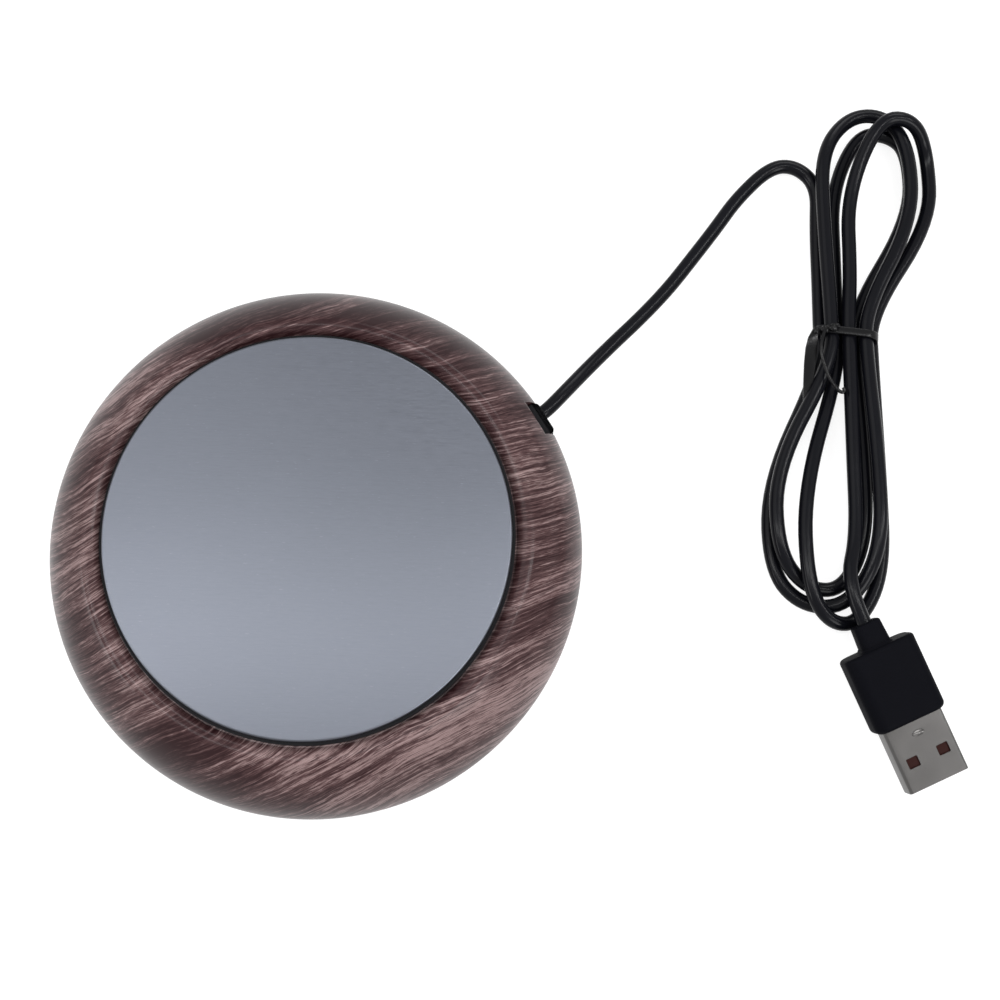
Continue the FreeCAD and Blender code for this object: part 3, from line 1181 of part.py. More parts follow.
def make_all(doc):
    """Make every piece, and return those that are written out."""
    pieces = [
        make_top_shell(doc), make_heating_plate(doc), make_plate_seal(doc), make_heater_film(doc),
        make_insulation_pad(doc), make_heater_retainer(doc), make_retainer_nuts(doc), make_thermal_cutout(doc),
        make_cutout_clip(doc), make_clip_screws(doc), make_base_cover(doc), make_base_screws(doc),
        make_rubber_feet(doc), make_cord_grommet(doc), make_cord_clamp(doc), make_clamp_screws(doc),
        make_cord_tail(doc), make_cord_cores(doc), make_crimp_caps(doc), make_plug_overmould(doc),
        make_plug_shell(doc), make_plug_tongue(doc), make_plug_contacts(doc), make_cord_lead(doc),
        make_cord_hank(doc), make_twist_tie(doc),
    ]
    return pieces + make_wires(doc)


def fill_sheet(doc):
    sheet = doc.addObject("Spreadsheet::Sheet", "Sizes")
    for row, (alias, value, note) in enumerate(SIZES, start=1):
        sheet.set(f"A{row}", alias)
        sheet.set(f"B{row}", str(value))
        sheet.set(f"C{row}", note)
        sheet.setAlias(f"B{row}", alias)
    doc.recompute()


def check(doc, pieces):
    """Stop if any object failed or any piece is not a valid solid."""
    for item in doc.Objects:
        if "Invalid" in item.State or "Error" in item.State:
            raise RuntimeError(f"{item.Name} did not compute: {item.State}")
    for piece in pieces:
        if piece.Shape.isNull() or not piece.Shape.isValid() or not piece.Shape.Solids:
            raise RuntimeError(f"{piece.Label} is not a valid solid")
        print(f"{piece.Label}: {len(piece.Shape.Solids)} solids, {piece.Shape.Volume:.1f} mm3")


def main():
    doc = FreeCAD.newDocument("mug_warmer")
    fill_sheet(doc)
    pieces = make_all(doc)
    doc.recompute()
    check(doc, pieces)
    os.makedirs("parts", exist_ok=True)
    for piece in pieces:
        piece.Shape.exportStep(f"parts/{piece.Label}.step")


main()
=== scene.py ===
"""Electric mug warmer with a wood-grain dome, a brushed plate and a USB cord in a tied hank."""

import math

import bmesh
import bpy
from bpy.props import FloatProperty, FloatVectorProperty, IntProperty, PointerProperty
from mathutils import Matrix, Vector


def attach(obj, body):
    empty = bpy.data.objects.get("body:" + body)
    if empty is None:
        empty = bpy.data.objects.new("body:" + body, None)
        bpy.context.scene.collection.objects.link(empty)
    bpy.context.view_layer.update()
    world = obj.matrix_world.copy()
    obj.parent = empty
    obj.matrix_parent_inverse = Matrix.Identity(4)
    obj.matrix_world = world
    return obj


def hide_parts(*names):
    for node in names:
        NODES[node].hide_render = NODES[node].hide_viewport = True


bl_info = {
    "name": "Mug Warmer",
    "version": (1, 0, 0),
    "blender": (4, 5, 0),
    "location": "3D View > Sidebar > Mug Warmer",
    "description": "Builds an electric mug warmer with a wood-grain dome and a USB cord",
    "category": "Object",
}

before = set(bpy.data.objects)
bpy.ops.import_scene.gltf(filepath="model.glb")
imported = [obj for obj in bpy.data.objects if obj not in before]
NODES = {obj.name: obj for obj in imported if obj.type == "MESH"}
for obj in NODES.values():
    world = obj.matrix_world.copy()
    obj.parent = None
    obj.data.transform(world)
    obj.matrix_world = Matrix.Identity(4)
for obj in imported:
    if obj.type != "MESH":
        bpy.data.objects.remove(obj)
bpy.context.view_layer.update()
MM = 0.001


def size(value, description):
    """A length, given in millimetres."""
    return FloatProperty(description=description, default=value * MM, unit="LENGTH", precision=5)


def tint(value, description):
    return FloatVectorProperty(description=description, default=value, subtype="COLOR", size=3, min=0.0, max=1.0)


class WarmerSizes(bpy.types.PropertyGroup):
    """Sizes of the dome, the plate and what shows round them."""
    body_radius: size(50.0, "Widest radius of the dome")
    widest_height: size(6.5, "Height of the widest line")
    flank_radius: size(20.4, "Radius of the dome's flank in section")
    crest_radius: size(39.2, "Radius at which flank and inner slope meet")
    crest_height: size(22.7, "Height at which flank and inner slope meet")
    crest_round: size(2.2, "Rounding of the crest")
    waist_round: size(3.0, "Rounding of the widest line")
    tuck_radius: size(47.6, "Outer radius at the bottom edge")
    wall: size(2.0, "Wall of the dome")
    underside: size(1.0, "Height of the underside above the table")
    bore_radius: size(37.6, "Radius of the dome's opening round the plate")
    slope_foot: size(20.8, "Height of the inner slope's foot")
    ledge_top: size(20.6, "Height of the ledge under the plate")
    ledge_under: size(19.0, "Height of the ledge's underside")
    ledge_radius: size(33.5, "Inner radius of the ledge")
    slot_width: size(7.0, "Width of the cord slot")
    slot_shift: size(1.9, "How far the slot's middle lies to the right of the cord")
    slot_radius: size(47.2, "Radius of the cord slot's back wall")
    grommet_face: size(49.8, "Radius of the grommet's outer face")
    grommet_inner: size(41.6, "Radius of the grommet's inner face")
    grommet_top: size(11.2, "Height of the grommet's top")
    grommet_flange: size(10.4, "Width of the grommet's flange inside the dome")
    floor_top: size(2.6, "Height of the base cover's floor")
    collar_radius: size(2.3, "Radius of the collar round the cord")
    collar_length: size(0.5, "Length of the collar")
    cord_height: size(6.0, "Height of the cord's centre in the collar")
    plate_radius: size(36.7, "Radius of the heated plate")
    plate_under: size(21.8, "Height of the plate's underside")
    plate_top: size(23.0, "Height of the plate's top")
    plate_round: size(0.4, "Rounding of the plate's edge")
    stud_circle: size(22.0, "Radius of the circle of studs under the plate")
    stud_radius: size(1.5, "Radius of a stud")
    stud_end: size(14.6, "Height of the studs' lower ends")
    facets: IntProperty(description="Sides of the turned pieces", default=288, min=32)


class WarmerColours(bpy.types.PropertyGroup):
    """Colours of the finishes."""
    grain_dark: tint((0.018, 0.0065, 0.0075), "Darkest streaks of the wood film")
    grain_mid: tint((0.078, 0.043, 0.0435), "Ground of the wood film")
    grain_light: tint((0.225, 0.155, 0.152), "Lightest streaks of the wood film")
    plate: tint((0.102, 0.109, 0.128), "Brushed aluminium")
    jacket: tint((0.0032, 0.0034, 0.0050), "Cord")
    moulding: tint((0.0036, 0.0037, 0.0052), "Plug's moulding")
    nickel: tint((0.090, 0.087, 0.085), "Plug's shell")


class CordSizes(bpy.types.PropertyGroup):
    """Sizes of the cord and where its hank is tied."""
    diameter: size(2.8, "Diameter of the cord")
    exit_height: size(6.0, "Height of the cord where it leaves the housing")
    exit_radius: size(50.3, "Distance of the collar's face from the middle")
    waist_x: size(102.2, "Place of the hank's waist along X")
    waist_y: size(42.5, "Place of the hank's waist along Y")
    waist_pitch: size(3.3, "Distance between strands at the waist")
    layer_rise: size(3.1, "Height between the two layers at the waist")
    tie_width: size(1.5, "Width of the tie's ribbon")
    tie_thickness: size(0.6, "Thickness of the tie's ribbon")
    tie_clearance: size(0.3, "Gap between tie and cord")


class PlugSizes(bpy.types.PropertyGroup):
    """Sizes of the plug."""
    width: size(14.2, "Width of the moulding")
    thickness: size(7.6, "Thickness of the moulding")
    long_round: size(2.4, "Rounding of the moulding's long edges")
    end_round: size(1.2, "Rounding of the moulding's end edges")
    neck_width: size(5.9, "Width of the neck")
    neck_thickness: size(5.2, "Thickness of the neck")
    shell_width: size(12.0, "Width of the metal shell")
    shell_sheet: size(0.3, "Sheet thickness of the metal shell")
    shell_sink: size(4.0, "How far the metal shell runs into the moulding")
    window_length: size(2.0, "Length of a window in the shell")
    window_width: size(2.3, "Width of a window in the shell")
    window_place: size(5.2, "Distance from the tip to a window's middle")
    window_spread: size(3.1, "Distance from the middle line to a window's middle")


class StageValues(bpy.types.PropertyGroup):
    """The camera, floor and lights."""
    lens: FloatProperty(description="Focal length in millimetres on a 36 mm sensor", default=57.6)
    camera_x: size(34.78, "Camera's place along X")
    camera_y: size(-50.33, "Camera's place along Y")
    camera_z: size(303.83, "Camera's height above the table")
    nadir_across: FloatProperty(description="Pixels rightwards from the middle to straight below the camera",
                                default=1.79)
    nadir_down: FloatProperty(description="The same, downwards", default=321.98)
    focal_pixels: FloatProperty(description="Focal length in pixels", default=1600.0)
    floor_size: FloatProperty(description="Side of the floor", default=6.0, unit="LENGTH")


CORD_BEARING = math.radians(32.0)
PLUG_HEADING = math.radians(-65.6)
PLUG_PITCH = math.radians(8.0)
PLUG_TIP = Vector((115.45, -42.7, 0.0)) * MM
TABLE_GAP = 0.05 * MM
PLUG_NECK, PLUG_MOULD, PLUG_SHELL = 4.8 * MM, 15.0 * MM, 12.1 * MM
PLUG_SHELL_THICKNESS = 4.5 * MM

# The cord's free stretch in millimetres, from the collar over the table to the hank
LEAD_ROUTE = [
    (47.0, 31.1, 5.0), (51.2, 36.0, 3.0), (56.4, 41.6, 1.6), (62.2, 47.2, 1.45), (67.8, 53.2, 1.45),
    (72.9, 59.8, 1.45), (77.4, 65.7, 1.45), (82.0, 72.2, 1.45), (88.8, 78.8, 1.45), (93.9, 79.0, 1.45),
    (98.1, 74.8, 1.45),
]

# The hank's loops in millimetres from the middle of its waist: the flank a loop goes out by, its
# end and the flank it comes back by. Slots are in pitches from the middle, with a layer.
DOWN_SLOTS = [(-1.5, 0), (-1.0, 1), (-0.5, 0), (0.0, 1)]
UP_SLOTS = [(1.0, 1), (0.5, 0), (1.5, 0)]
LOWER_LOOPS = [
    [(-16.2, -41.1, 1.5), (-6.1, -52.8, 2.2), (4.5, -34.7, 5.9)],
    [(-15.2, -38.0, 5.2), (-5.1, -49.5, 1.6), (2.3, -32.2, 3.1)],
    [(-10.0, -43.8, 6.0), (-3.4, -56.2, 3.6), (5.6, -38.8, 1.5)],
]
UPPER_LOOPS = [
    [(13.7, 33.7, 5.2), (6.6, 46.1, 4.0), (-3.9, 32.0, 5.4)],
    [(14.4, 36.6, 1.5), (8.2, 43.1, 1.6), (-1.4, 22.1, 1.45)],
    [(18.2, 35.0, 1.9), (11.5, 43.9, 7.7), (1.0, 18.5, 4.8)],
]
LOWER_SLOPES = [0.16, -0.08, -0.35]
UPPER_SLOPES = [-0.03, 0.05, 0.07]
# How far the corners of a strand stand from the waist, a flank and a fold, as shares of its length
SLOT_REACH, FLANK_REACH, FOLD_REACH = 0.14, 0.30, 0.414
LEAD_HOOK = 5.4 * MM
SLOT_CUT_HEIGHT = 24 * MM
# The floor's grey, its glow where it is seen itself, and the world's strength where it isn't
FLOOR_GREY, FLOOR_GLOW, WORLD_LIGHT = 0.26, 0.84, 0.45
HANK_START = (-4.67, 17.6, 1.45)
HANK_LAST = (-0.18, -33.8, 5.55)


# Shader helpers

def new_material(name):
    """An empty material with its output and one Principled shader."""
    material = bpy.data.materials.new(name)
    material.use_nodes = True
    tree = material.node_tree
    return material, tree, tree.nodes["Principled BSDF"]


def set_inputs(node, values):
    for socket, value in values.items():
        node.inputs[socket].default_value = value


def add_node(tree, kind, inputs=None, **settings):
    """Add a node, set its properties, and set or link its inputs."""
    node = tree.nodes.new(kind)
    for name, value in settings.items():
        setattr(node, name, value)
    for socket, value in (inputs or {}).items():
        if isinstance(value, bpy.types.NodeSocket):
            tree.links.new(value, node.inputs[socket])
        else:
            node.inputs[socket].default_value = value
    return node


def math_node(tree, operation, first, second=0.0, third=0.0):
    return add_node(tree, "ShaderNodeMath", {0: first, 1: second, 2: third}, operation=operation).outputs[0]


def mapped(tree, vector, scale=(1, 1, 1), turn=(0, 0, 0), place=(0, 0, 0)):
    inputs = {"Vector": vector, "Scale": scale, "Rotation": turn, "Location": place}
    return add_node(tree, "ShaderNodeMapping", inputs).outputs[0]


def noise(tree, vector, scale, detail=4.0, roughness=0.55, distortion=0.0):
    inputs = {"Vector": vector, "Scale": scale, "Detail": detail, "Roughness": roughness, "Distortion": distortion}
    return add_node(tree, "ShaderNodeTexNoise", inputs).outputs["Fac"]


def streaks(tree, vector, scale, shift, detail, roughness=0.55, distortion=0.0):
    """Noise drawn out along an axis, and shifted so that no two patterns are alike."""
    return noise(tree, mapped(tree, vector, scale, place=shift), 1.0, detail, roughness, distortion)


def map_range(tree, value, low, high, first, last):
    """Carry a value from one range to another, and hold it between the ends."""
    inputs = {"Value": value, "From Min": low, "From Max": high, "To Min": first, "To Max": last}
    return add_node(tree, "ShaderNodeMapRange", inputs).outputs["Result"]


def ramp(tree, value, stops):
    """A colour ramp through stops of place and colour."""
    node = add_node(tree, "ShaderNodeValToRGB", {"Fac": value})
    elements = node.color_ramp.elements
    while len(elements) < len(stops):
        elements.new(0.5)
    for element, (place, colour) in zip(elements, stops):
        element.position = place
        element.color = (*colour, 1.0)
    return node.outputs["Color"]


def blend_colours(tree, factor, first, second, mode="MIX"):
    node = add_node(tree, "ShaderNodeMix", data_type="RGBA", blend_type=mode)
    for socket, value in ((0, factor), (6, first), (7, second)):
        if isinstance(value, bpy.types.NodeSocket):
            tree.links.new(value, node.inputs[socket])
        else:
            node.inputs[socket].default_value = value if socket == 0 else (*value, 1.0)
    return node.outputs[2]


def bump(tree, height, strength, distance):
    inputs = {"Height": height, "Strength": strength, "Distance": distance}
    return add_node(tree, "ShaderNodeBump", inputs).outputs["Normal"]


def millimetres(tree):
    """Object coordinates in millimetres."""
    return mapped(tree, add_node(tree, "ShaderNodeTexCoord").outputs["Object"], (1000, 1000, 1000))


def link_surface(tree, principled, colour, roughness, normal):
    for socket, value in (("Base Color", colour), ("Roughness", roughness), ("Normal", normal)):
        tree.links.new(value, principled.inputs[socket])


def make_grime_group():
    """Node group: a faint uneven mask of handling marks, for roughness."""
    group = bpy.data.node_groups.new("Handling Marks", "ShaderNodeTree")
    group.interface.new_socket("Vector", in_out="INPUT", socket_type="NodeSocketVector")
    for name, value in (("Scale", 0.1), ("Low", 0.3), ("High", 0.5)):
        socket = group.interface.new_socket(name, in_out="INPUT", socket_type="NodeSocketFloat")
        socket.default_value = value
    group.interface.new_socket("Roughness", in_out="OUTPUT", socket_type="NodeSocketFloat")
    ends = group.nodes.new("NodeGroupInput").outputs
    out = group.nodes.new("NodeGroupOutput")
    cloud = noise(group, ends["Vector"], ends["Scale"], 6.0, 0.6)
    group.links.new(map_range(group, cloud, 0.3, 0.7, ends["Low"], ends["High"]), out.inputs["Roughness"])
    return group


def handled_roughness(tree, vector, scale, low, high):
    """Place the handling marks group with its own values."""
    group = bpy.data.node_groups.get("Handling Marks") or make_grime_group()
    inputs = {"Vector": vector, "Scale": scale, "Low": low, "High": high}
    return add_node(tree, "ShaderNodeGroup", inputs, node_tree=group).outputs["Roughness"]


def plain_material(name, colour, roughness, metallic=0.0, grain=0.4, grain_height=0.01, specular=0.5):
    """A moulded or cast finish: a colour that varies a little, uneven roughness and a fine grain."""
    material, tree, principled = new_material(name)
    place = millimetres(tree)
    darker = tuple(channel * 0.82 for channel in colour)
    link_surface(tree, principled, blend_colours(tree, noise(tree, place, 0.15, 5.0), darker, colour),
                 handled_roughness(tree, place, 0.2, roughness * 0.88, min(1.0, roughness * 1.12)),
                 bump(tree, noise(tree, place, 1 / grain, 3.0), 0.35, grain_height * MM))
    set_inputs(principled, {"Metallic": metallic, "Specular IOR Level": specular})
    return material


def wood_film_material():
    """Water-transfer film: broken streaks of dark maroon brown and pinkish light, bent over the dome."""
    colours = bpy.context.scene.warmer_colours
    material, tree, principled = new_material("wood_film")
    place = millimetres(tree)
    # Slow waves make the streaks wander
    sway = add_node(tree, "ShaderNodeTexNoise", {"Vector": place, "Scale": 0.022, "Detail": 4.0, "Roughness": 0.5})
    vector = sway.outputs["Color"]
    for operation, inputs in (("SUBTRACT", {1: (0.5, 0.5, 0.5)}), ("SCALE", {"Scale": 6.0}), ("ADD", {1: place})):
        vector = add_node(tree, "ShaderNodeVectorMath", {0: vector, **inputs}, operation=operation).outputs[0]
    axes = add_node(tree, "ShaderNodeSeparateXYZ", {0: vector}).outputs
    # A streak rises steeply at the upper left and lies nearly level on the right
    rise = math_node(tree, "MULTIPLY_ADD", axes[0], -0.0020, 0.46)
    rise = math_node(tree, "MULTIPLY_ADD", axes[1], -0.0024, rise)
    twist = math_node(tree, "MULTIPLY", math_node(tree, "MULTIPLY", axes[0], axes[1]), -0.00005)
    rise = math_node(tree, "MULTIPLY", math_node(tree, "ADD", rise, twist), axes[0])
    across = math_node(tree, "SUBTRACT", axes[1], rise)
    across = math_node(tree, "MULTIPLY_ADD", axes[2], 0.35, across)
    along = math_node(tree, "MULTIPLY_ADD", axes[1], 0.4, axes[0])
    grain = add_node(tree, "ShaderNodeCombineXYZ", {0: along, 1: across, 2: 0.0}).outputs[0]
    fine = streaks(tree, grain, (0.055, 1.8, 1), (0, 0, 0), 4.0, 0.72, 0.2)
    total, middle = fine, 0.5
    for share, scale, shift, detail, rough, distortion in (
            (0.45, (0.50, 3.0, 1), (11, 4, 2), 2.0, 0.6, 0.25),
            (0.60, (0.022, 0.42, 1), (31, 7, 3), 3.0, 0.6, 0.15),
            (0.55, (0.03, 0.085, 1), (5, 50, 9), 2.0, 0.5, 0.0)):
        layer = streaks(tree, grain, scale, shift, detail, rough, distortion)
        total = math_node(tree, "MULTIPLY_ADD", layer, share, total)
        middle += 0.5 * share
    # Partly the film's own patches and partly painted light and shade: the film is darker at the top, on the right, at
    # the bottom and at the lower left, and a painted highlight makes it palest at the lower right
    sides = add_node(tree, "ShaderNodeSeparateXYZ", {0: place}).outputs
    slope = math_node(tree, "MULTIPLY_ADD", sides[0], -0.0012, -0.01)
    slope = math_node(tree, "MULTIPLY_ADD", sides[1], -0.0014, slope)
    for right, up, most in ((0.7, -0.7, 0.12), (-0.7, -0.7, -0.24), (0.0, -1.0, -0.06), (0.0, 1.0, -0.11)):
        corner = math_node(tree, "MULTIPLY_ADD", sides[1], up, math_node(tree, "MULTIPLY", sides[0], right))
        slope = math_node(tree, "ADD", slope, map_range(tree, corner, 30.0, 48.0, 0.0, most))
    total = math_node(tree, "ADD", total, slope)
    value = math_node(tree, "MULTIPLY_ADD", math_node(tree, "SUBTRACT", total, middle), 2.3, 0.52)
    dark, ground, light = (tuple(c) for c in (colours.grain_dark, colours.grain_mid, colours.grain_light))
    between = tuple((a + b) / 2 for a, b in zip(dark, ground))
    colour = ramp(tree, value, [(0.08, dark), (0.36, between), (0.56, ground), (0.86, light)])
    # Thin dark hairs run with the streaks
    for across_scale, shift, depth in ((1.0, 21.0, 0.85), (1.8, 63.0, 0.6)):
        hair = streaks(tree, grain, (0.035, across_scale, 1), (shift, shift, 2), 3.0, 0.65, 0.15)
        away = math_node(tree, "ABSOLUTE", math_node(tree, "SUBTRACT", hair, 0.5))
        colour = blend_colours(tree, map_range(tree, away, 0.0, 0.028, depth, 0.0), colour, dark)
    # Greyer stretches between the reddish ones
    grey = streaks(tree, grain, (0.02, 0.11, 1), (70, 20, 1), 2.0, 0.5)
    greyed = blend_colours(tree, 1.0, colour, (0.97, 1.02, 1.0), mode="MULTIPLY")
    mixed = blend_colours(tree, map_range(tree, grey, 0.45, 0.7, 0.0, 0.55), colour, greyed)
    link_surface(tree, principled, mixed, handled_roughness(tree, place, 0.08, 0.34, 0.42),
                 bump(tree, fine, 0.10, 0.02 * MM))
    set_inputs(principled, {"Specular IOR Level": 0.03, "Coat Weight": 0.5, "Coat IOR": 1.28,
                            "Coat Roughness": 0.24})
    return material


def brushed_plate_material():
    """Aluminium brushed nearly straight across."""
    colours = bpy.context.scene.warmer_colours
    material, tree, principled = new_material("brushed_plate")
    place = millimetres(tree)
    turned = mapped(tree, place, turn=(0, 0, math.radians(2.0)))
    hair = streaks(tree, turned, (0.45, 4.5, 1.0), (0, 0, 0), 3.0, 0.6)
    scratch = streaks(tree, turned, (0.09, 2.2, 1.0), (3, 9, 1), 4.0, 0.65)
    cloud = streaks(tree, place, (0.02, 0.03, 0.02), (0, 0, 0), 2.0)
    mixed = math_node(tree, "MULTIPLY_ADD", hair, 0.65, math_node(tree, "MULTIPLY", scratch, 0.35))
    tone = math_node(tree, "MULTIPLY_ADD", mixed, 0.8, math_node(tree, "MULTIPLY", cloud, 0.2))
    plate = tuple(colours.plate)
    darker, lighter, bright = (tuple(min(1.0, c * factor) for c in plate) for factor in (0.92, 1.07, 1.4))
    colour = ramp(tree, tone, [(0.34, darker), (0.5, plate), (0.66, lighter)])
    # Tiny light flecks lie along the brushing
    fleck = streaks(tree, turned, (0.9, 4.0, 1.0), (40, 2, 1), 1.0, 0.5)
    colour = blend_colours(tree, map_range(tree, fleck, 0.68, 0.80, 0.0, 0.6), colour, bright)
    link_surface(tree, principled, colour, map_range(tree, mixed, 0.3, 0.7, 0.34, 0.46),
                 bump(tree, mixed, 0.25, 0.01 * MM))
    set_inputs(principled, {"Metallic": 1.0})
    return material


MATERIALS = {}


def material_for(name):
    """Make each finish once and keep it."""
    if name not in MATERIALS:
        colours = bpy.context.scene.warmer_colours
        makers = {
            "wood_film": wood_film_material,
            "brushed_plate": brushed_plate_material,
            "rubber": lambda: plain_material("black_rubber", (0.006, 0.006, 0.007), 0.6, grain=0.25, specular=0.08),
            "base": lambda: plain_material("black_plastic", (0.016, 0.016, 0.017), 0.5, grain=0.5, grain_height=0.03),
            "jacket": lambda: plain_material("cord_jacket", tuple(colours.jacket), 0.22, grain=0.8,
                                             grain_height=0.002, specular=0.09),
            "moulding": lambda: plain_material("plug_moulding", tuple(colours.moulding), 0.5, grain=0.3,
                                               grain_height=0.03, specular=0.012),
            "nickel": lambda: plain_material("plug_metal", tuple(colours.nickel), 0.34, 1.0, grain=0.6),
            "insulator": lambda: plain_material("plug_insulator", (0.022, 0.007, 0.006), 0.5, specular=0.05),
            "gold": lambda: plain_material("contact_gold", (0.80, 0.58, 0.24), 0.25, 1.0),
            "steel": lambda: plain_material("zinc_steel", (0.56, 0.56, 0.55), 0.36, 1.0),
            "film": lambda: plain_material("amber_film", (0.50, 0.22, 0.04), 0.25),
            "felt": lambda: plain_material("felt", (0.74, 0.72, 0.66), 0.95, grain=0.6, grain_height=0.2),
            "case": lambda: plain_material("cutout_case", (0.06, 0.06, 0.07), 0.42),
            "wire": lambda: plain_material("wire_white", (0.72, 0.72, 0.69), 0.4),
            "cap": lambda: plain_material("cap_nylon", (0.62, 0.64, 0.66), 0.3),
            "tie": lambda: plain_material("tie_plastic", (0.003, 0.003, 0.0035), 0.22, specular=0.15),
        }
        MATERIALS[name] = makers[name]()
    return MATERIALS[name]


def dress(piece, material):
    """Give a piece one material."""
    piece.data.materials.clear()
    piece.data.materials.append(material_for(material))


# Mesh helpers

def bearing_place(bearing, distance, height):
    """A place at a distance from the middle, in the direction of a bearing in radians."""
    return Vector((math.cos(bearing) * distance, math.sin(bearing) * distance, height))


def deselect_all():
    if bpy.context.mode != "OBJECT":
        bpy.ops.object.mode_set(mode="OBJECT")
    bpy.ops.object.select_all(action="DESELECT")


def activate(piece):
    deselect_all()
    piece.select_set(True)
    bpy.context.view_layer.objects.active = piece


def added(name):
    piece = bpy.context.object
    piece.name = name
    piece.data.name = name
    return piece


def settle(piece):
    """Put a piece's place and turn into its mesh."""
    activate(piece)
    bpy.ops.object.transform_apply(location=True, rotation=True, scale=True)
    return piece


def apply_modifier(piece, kind, **settings):
    activate(piece)
    modifier = piece.modifiers.new(kind.lower(), kind)
    for name, value in settings.items():
        setattr(modifier, name, value)
    bpy.ops.object.modifier_apply(modifier=modifier.name)


def start_edit(piece, kind):
    """Go into edit mode for edges or faces, with nothing selected."""
    activate(piece)
    bpy.ops.object.mode_set(mode="EDIT")
    bpy.ops.mesh.select_mode(type=kind)
    bpy.ops.mesh.select_all(action="DESELECT")
    return bmesh.from_edit_mesh(piece.data)


def leave_edit():
    bpy.ops.object.mode_set(mode="OBJECT")


def turn_outward():
    """Turn all faces outward and leave edit mode."""
    bpy.ops.mesh.select_all(action="SELECT")
    bpy.ops.mesh.normals_make_consistent(inside=False)
    leave_edit()


def merge_corners():
    bpy.ops.mesh.select_all(action="SELECT")
    bpy.ops.mesh.remove_doubles(threshold=1e-6)


def select_edges(piece, wanted):
    """Go into edit mode with just those edges selected whose two ends pass."""
    mesh = start_edit(piece, "EDGE")
    for edge in mesh.edges:
        edge.select_set(wanted([vertex.co for vertex in edge.verts]))
    mesh.select_flush_mode()
    bmesh.update_edit_mesh(piece.data)


def select_faces(piece, wanted):
    """Go into edit mode with just those faces selected that pass."""
    mesh = start_edit(piece, "FACE")
    for face in mesh.faces:
        face.select_set(wanted(face))
    bmesh.update_edit_mesh(piece.data)


def resize_faces(piece, wanted, value, centre):
    """Resize the faces that pass, about a place."""
    select_faces(piece, wanted)
    bpy.ops.transform.resize(value=value, center_override=centre)
    leave_edit()


def block(name, low, high):
    """A box between two opposite corners."""
    deselect_all()
    bpy.ops.mesh.primitive_cube_add(size=1, location=(Vector(low) + Vector(high)) / 2)
    piece = added(name)
    piece.scale = Vector(high) - Vector(low)
    return settle(piece)


def rod(name, sides, radius, length, middle, turn=(0, 0, 0)):
    """A cylinder along Z, turned about its middle."""
    deselect_all()
    bpy.ops.mesh.primitive_cylinder_add(vertices=sides, radius=radius, depth=length, location=middle, rotation=turn)
    return settle(added(name))


def tube(name, route, radius, **settings):
    """A tube along a smooth curve through control points, from the first one to the last."""
    curve = bpy.data.curves.new(name, "CURVE")
    curve.dimensions = "3D"
    spline = curve.splines.new("NURBS")
    spline.points.add(len(route) - 1)
    for point, place in zip(spline.points, route):
        point.co = (*place, 1.0)
    spline.order_u = 3
    spline.use_endpoint_u = True
    curve.bevel_depth = radius
    curve.use_fill_caps = True
    for setting, value in settings.items():
        setattr(curve, setting, value)
    piece = bpy.data.objects.new(name, curve)
    bpy.context.collection.objects.link(piece)
    return piece


def bevel_edges(piece, wanted, offset, segments):
    select_edges(piece, wanted)
    bpy.ops.mesh.bevel(offset=offset, segments=segments, affect="EDGES")
    leave_edit()


def soften(piece, width, segments, degrees):
    """Round the edges that are sharper than an angle."""
    apply_modifier(piece, "BEVEL", width=width, segments=segments, limit_method="ANGLE",
                   angle_limit=math.radians(degrees))


def along_axis(axis, least):
    """A test for edges that run along an axis for at least a length."""
    return lambda ends: abs(ends[0][axis] - ends[1][axis]) > least


def at_height(axis, value, near=0.00001):
    """A test for edges that lie at one value of an axis."""
    return lambda ends: all(abs(place[axis] - value) < near for place in ends)


def cut_away(piece, cutter):
    """Cut one piece out of another, and remove the cutter."""
    apply_modifier(piece, "BOOLEAN", operation="DIFFERENCE", object=cutter, solver="EXACT")
    bpy.data.objects.remove(cutter)


def join_pieces(parts):
    """Join pieces into the first one."""
    activate(parts[0])
    for part in parts[1:]:
        part.select_set(True)
    bpy.ops.object.join()
    return parts[0]


def turned(name, section, facets):
    """Turn a closed section of (radius, height) places: a circle extruded and resized ring by ring."""
    deselect_all()
    radius, height = section[0]
    bpy.ops.mesh.primitive_circle_add(vertices=facets, radius=radius, location=(0, 0, height))
    piece = added(name)
    settle(piece)
    bpy.ops.object.mode_set(mode="EDIT")
    bpy.ops.mesh.select_all(action="SELECT")
    for (inner, low), (outer, high) in zip(section, section[1:] + section[:1]):
        ratio = outer / inner
        bpy.ops.mesh.extrude_region_move(TRANSFORM_OT_translate={"value": (0, 0, high - low)})
        bpy.ops.transform.resize(value=(ratio, ratio, 1), center_override=(0, 0, high))
    merge_corners()
    turn_outward()
    return piece


def arc_places(centre, radius, first, last, steps):
    """Places on an arc, from one angle to another in radians."""
    angles = [first + (last - first) * step / steps for step in range(steps + 1)]
    return [(centre[0] + radius * math.cos(a), centre[1] + radius * math.sin(a)) for a in angles]


def rounded_corner(before, corner, after, radius, steps=8):
    """Places round a corner between two straight sides."""
    here = Vector(corner)
    back = (Vector(before) - here).normalized()
    onward = (Vector(after) - here).normalized()
    half = back.angle(onward) / 2
    centre = here + (back + onward).normalized() * (radius / math.sin(half))
    start = here + back * (radius / math.tan(half))
    end = here + onward * (radius / math.tan(half))
    first = (start - centre).angle_signed(Vector((1, 0)))
    turn = (end - centre).angle_signed(start - centre)
    return [tuple(centre + Vector((math.cos(first + turn * step / steps),
                                   math.sin(first + turn * step / steps))) * radius)
            for step in range(steps + 1)]


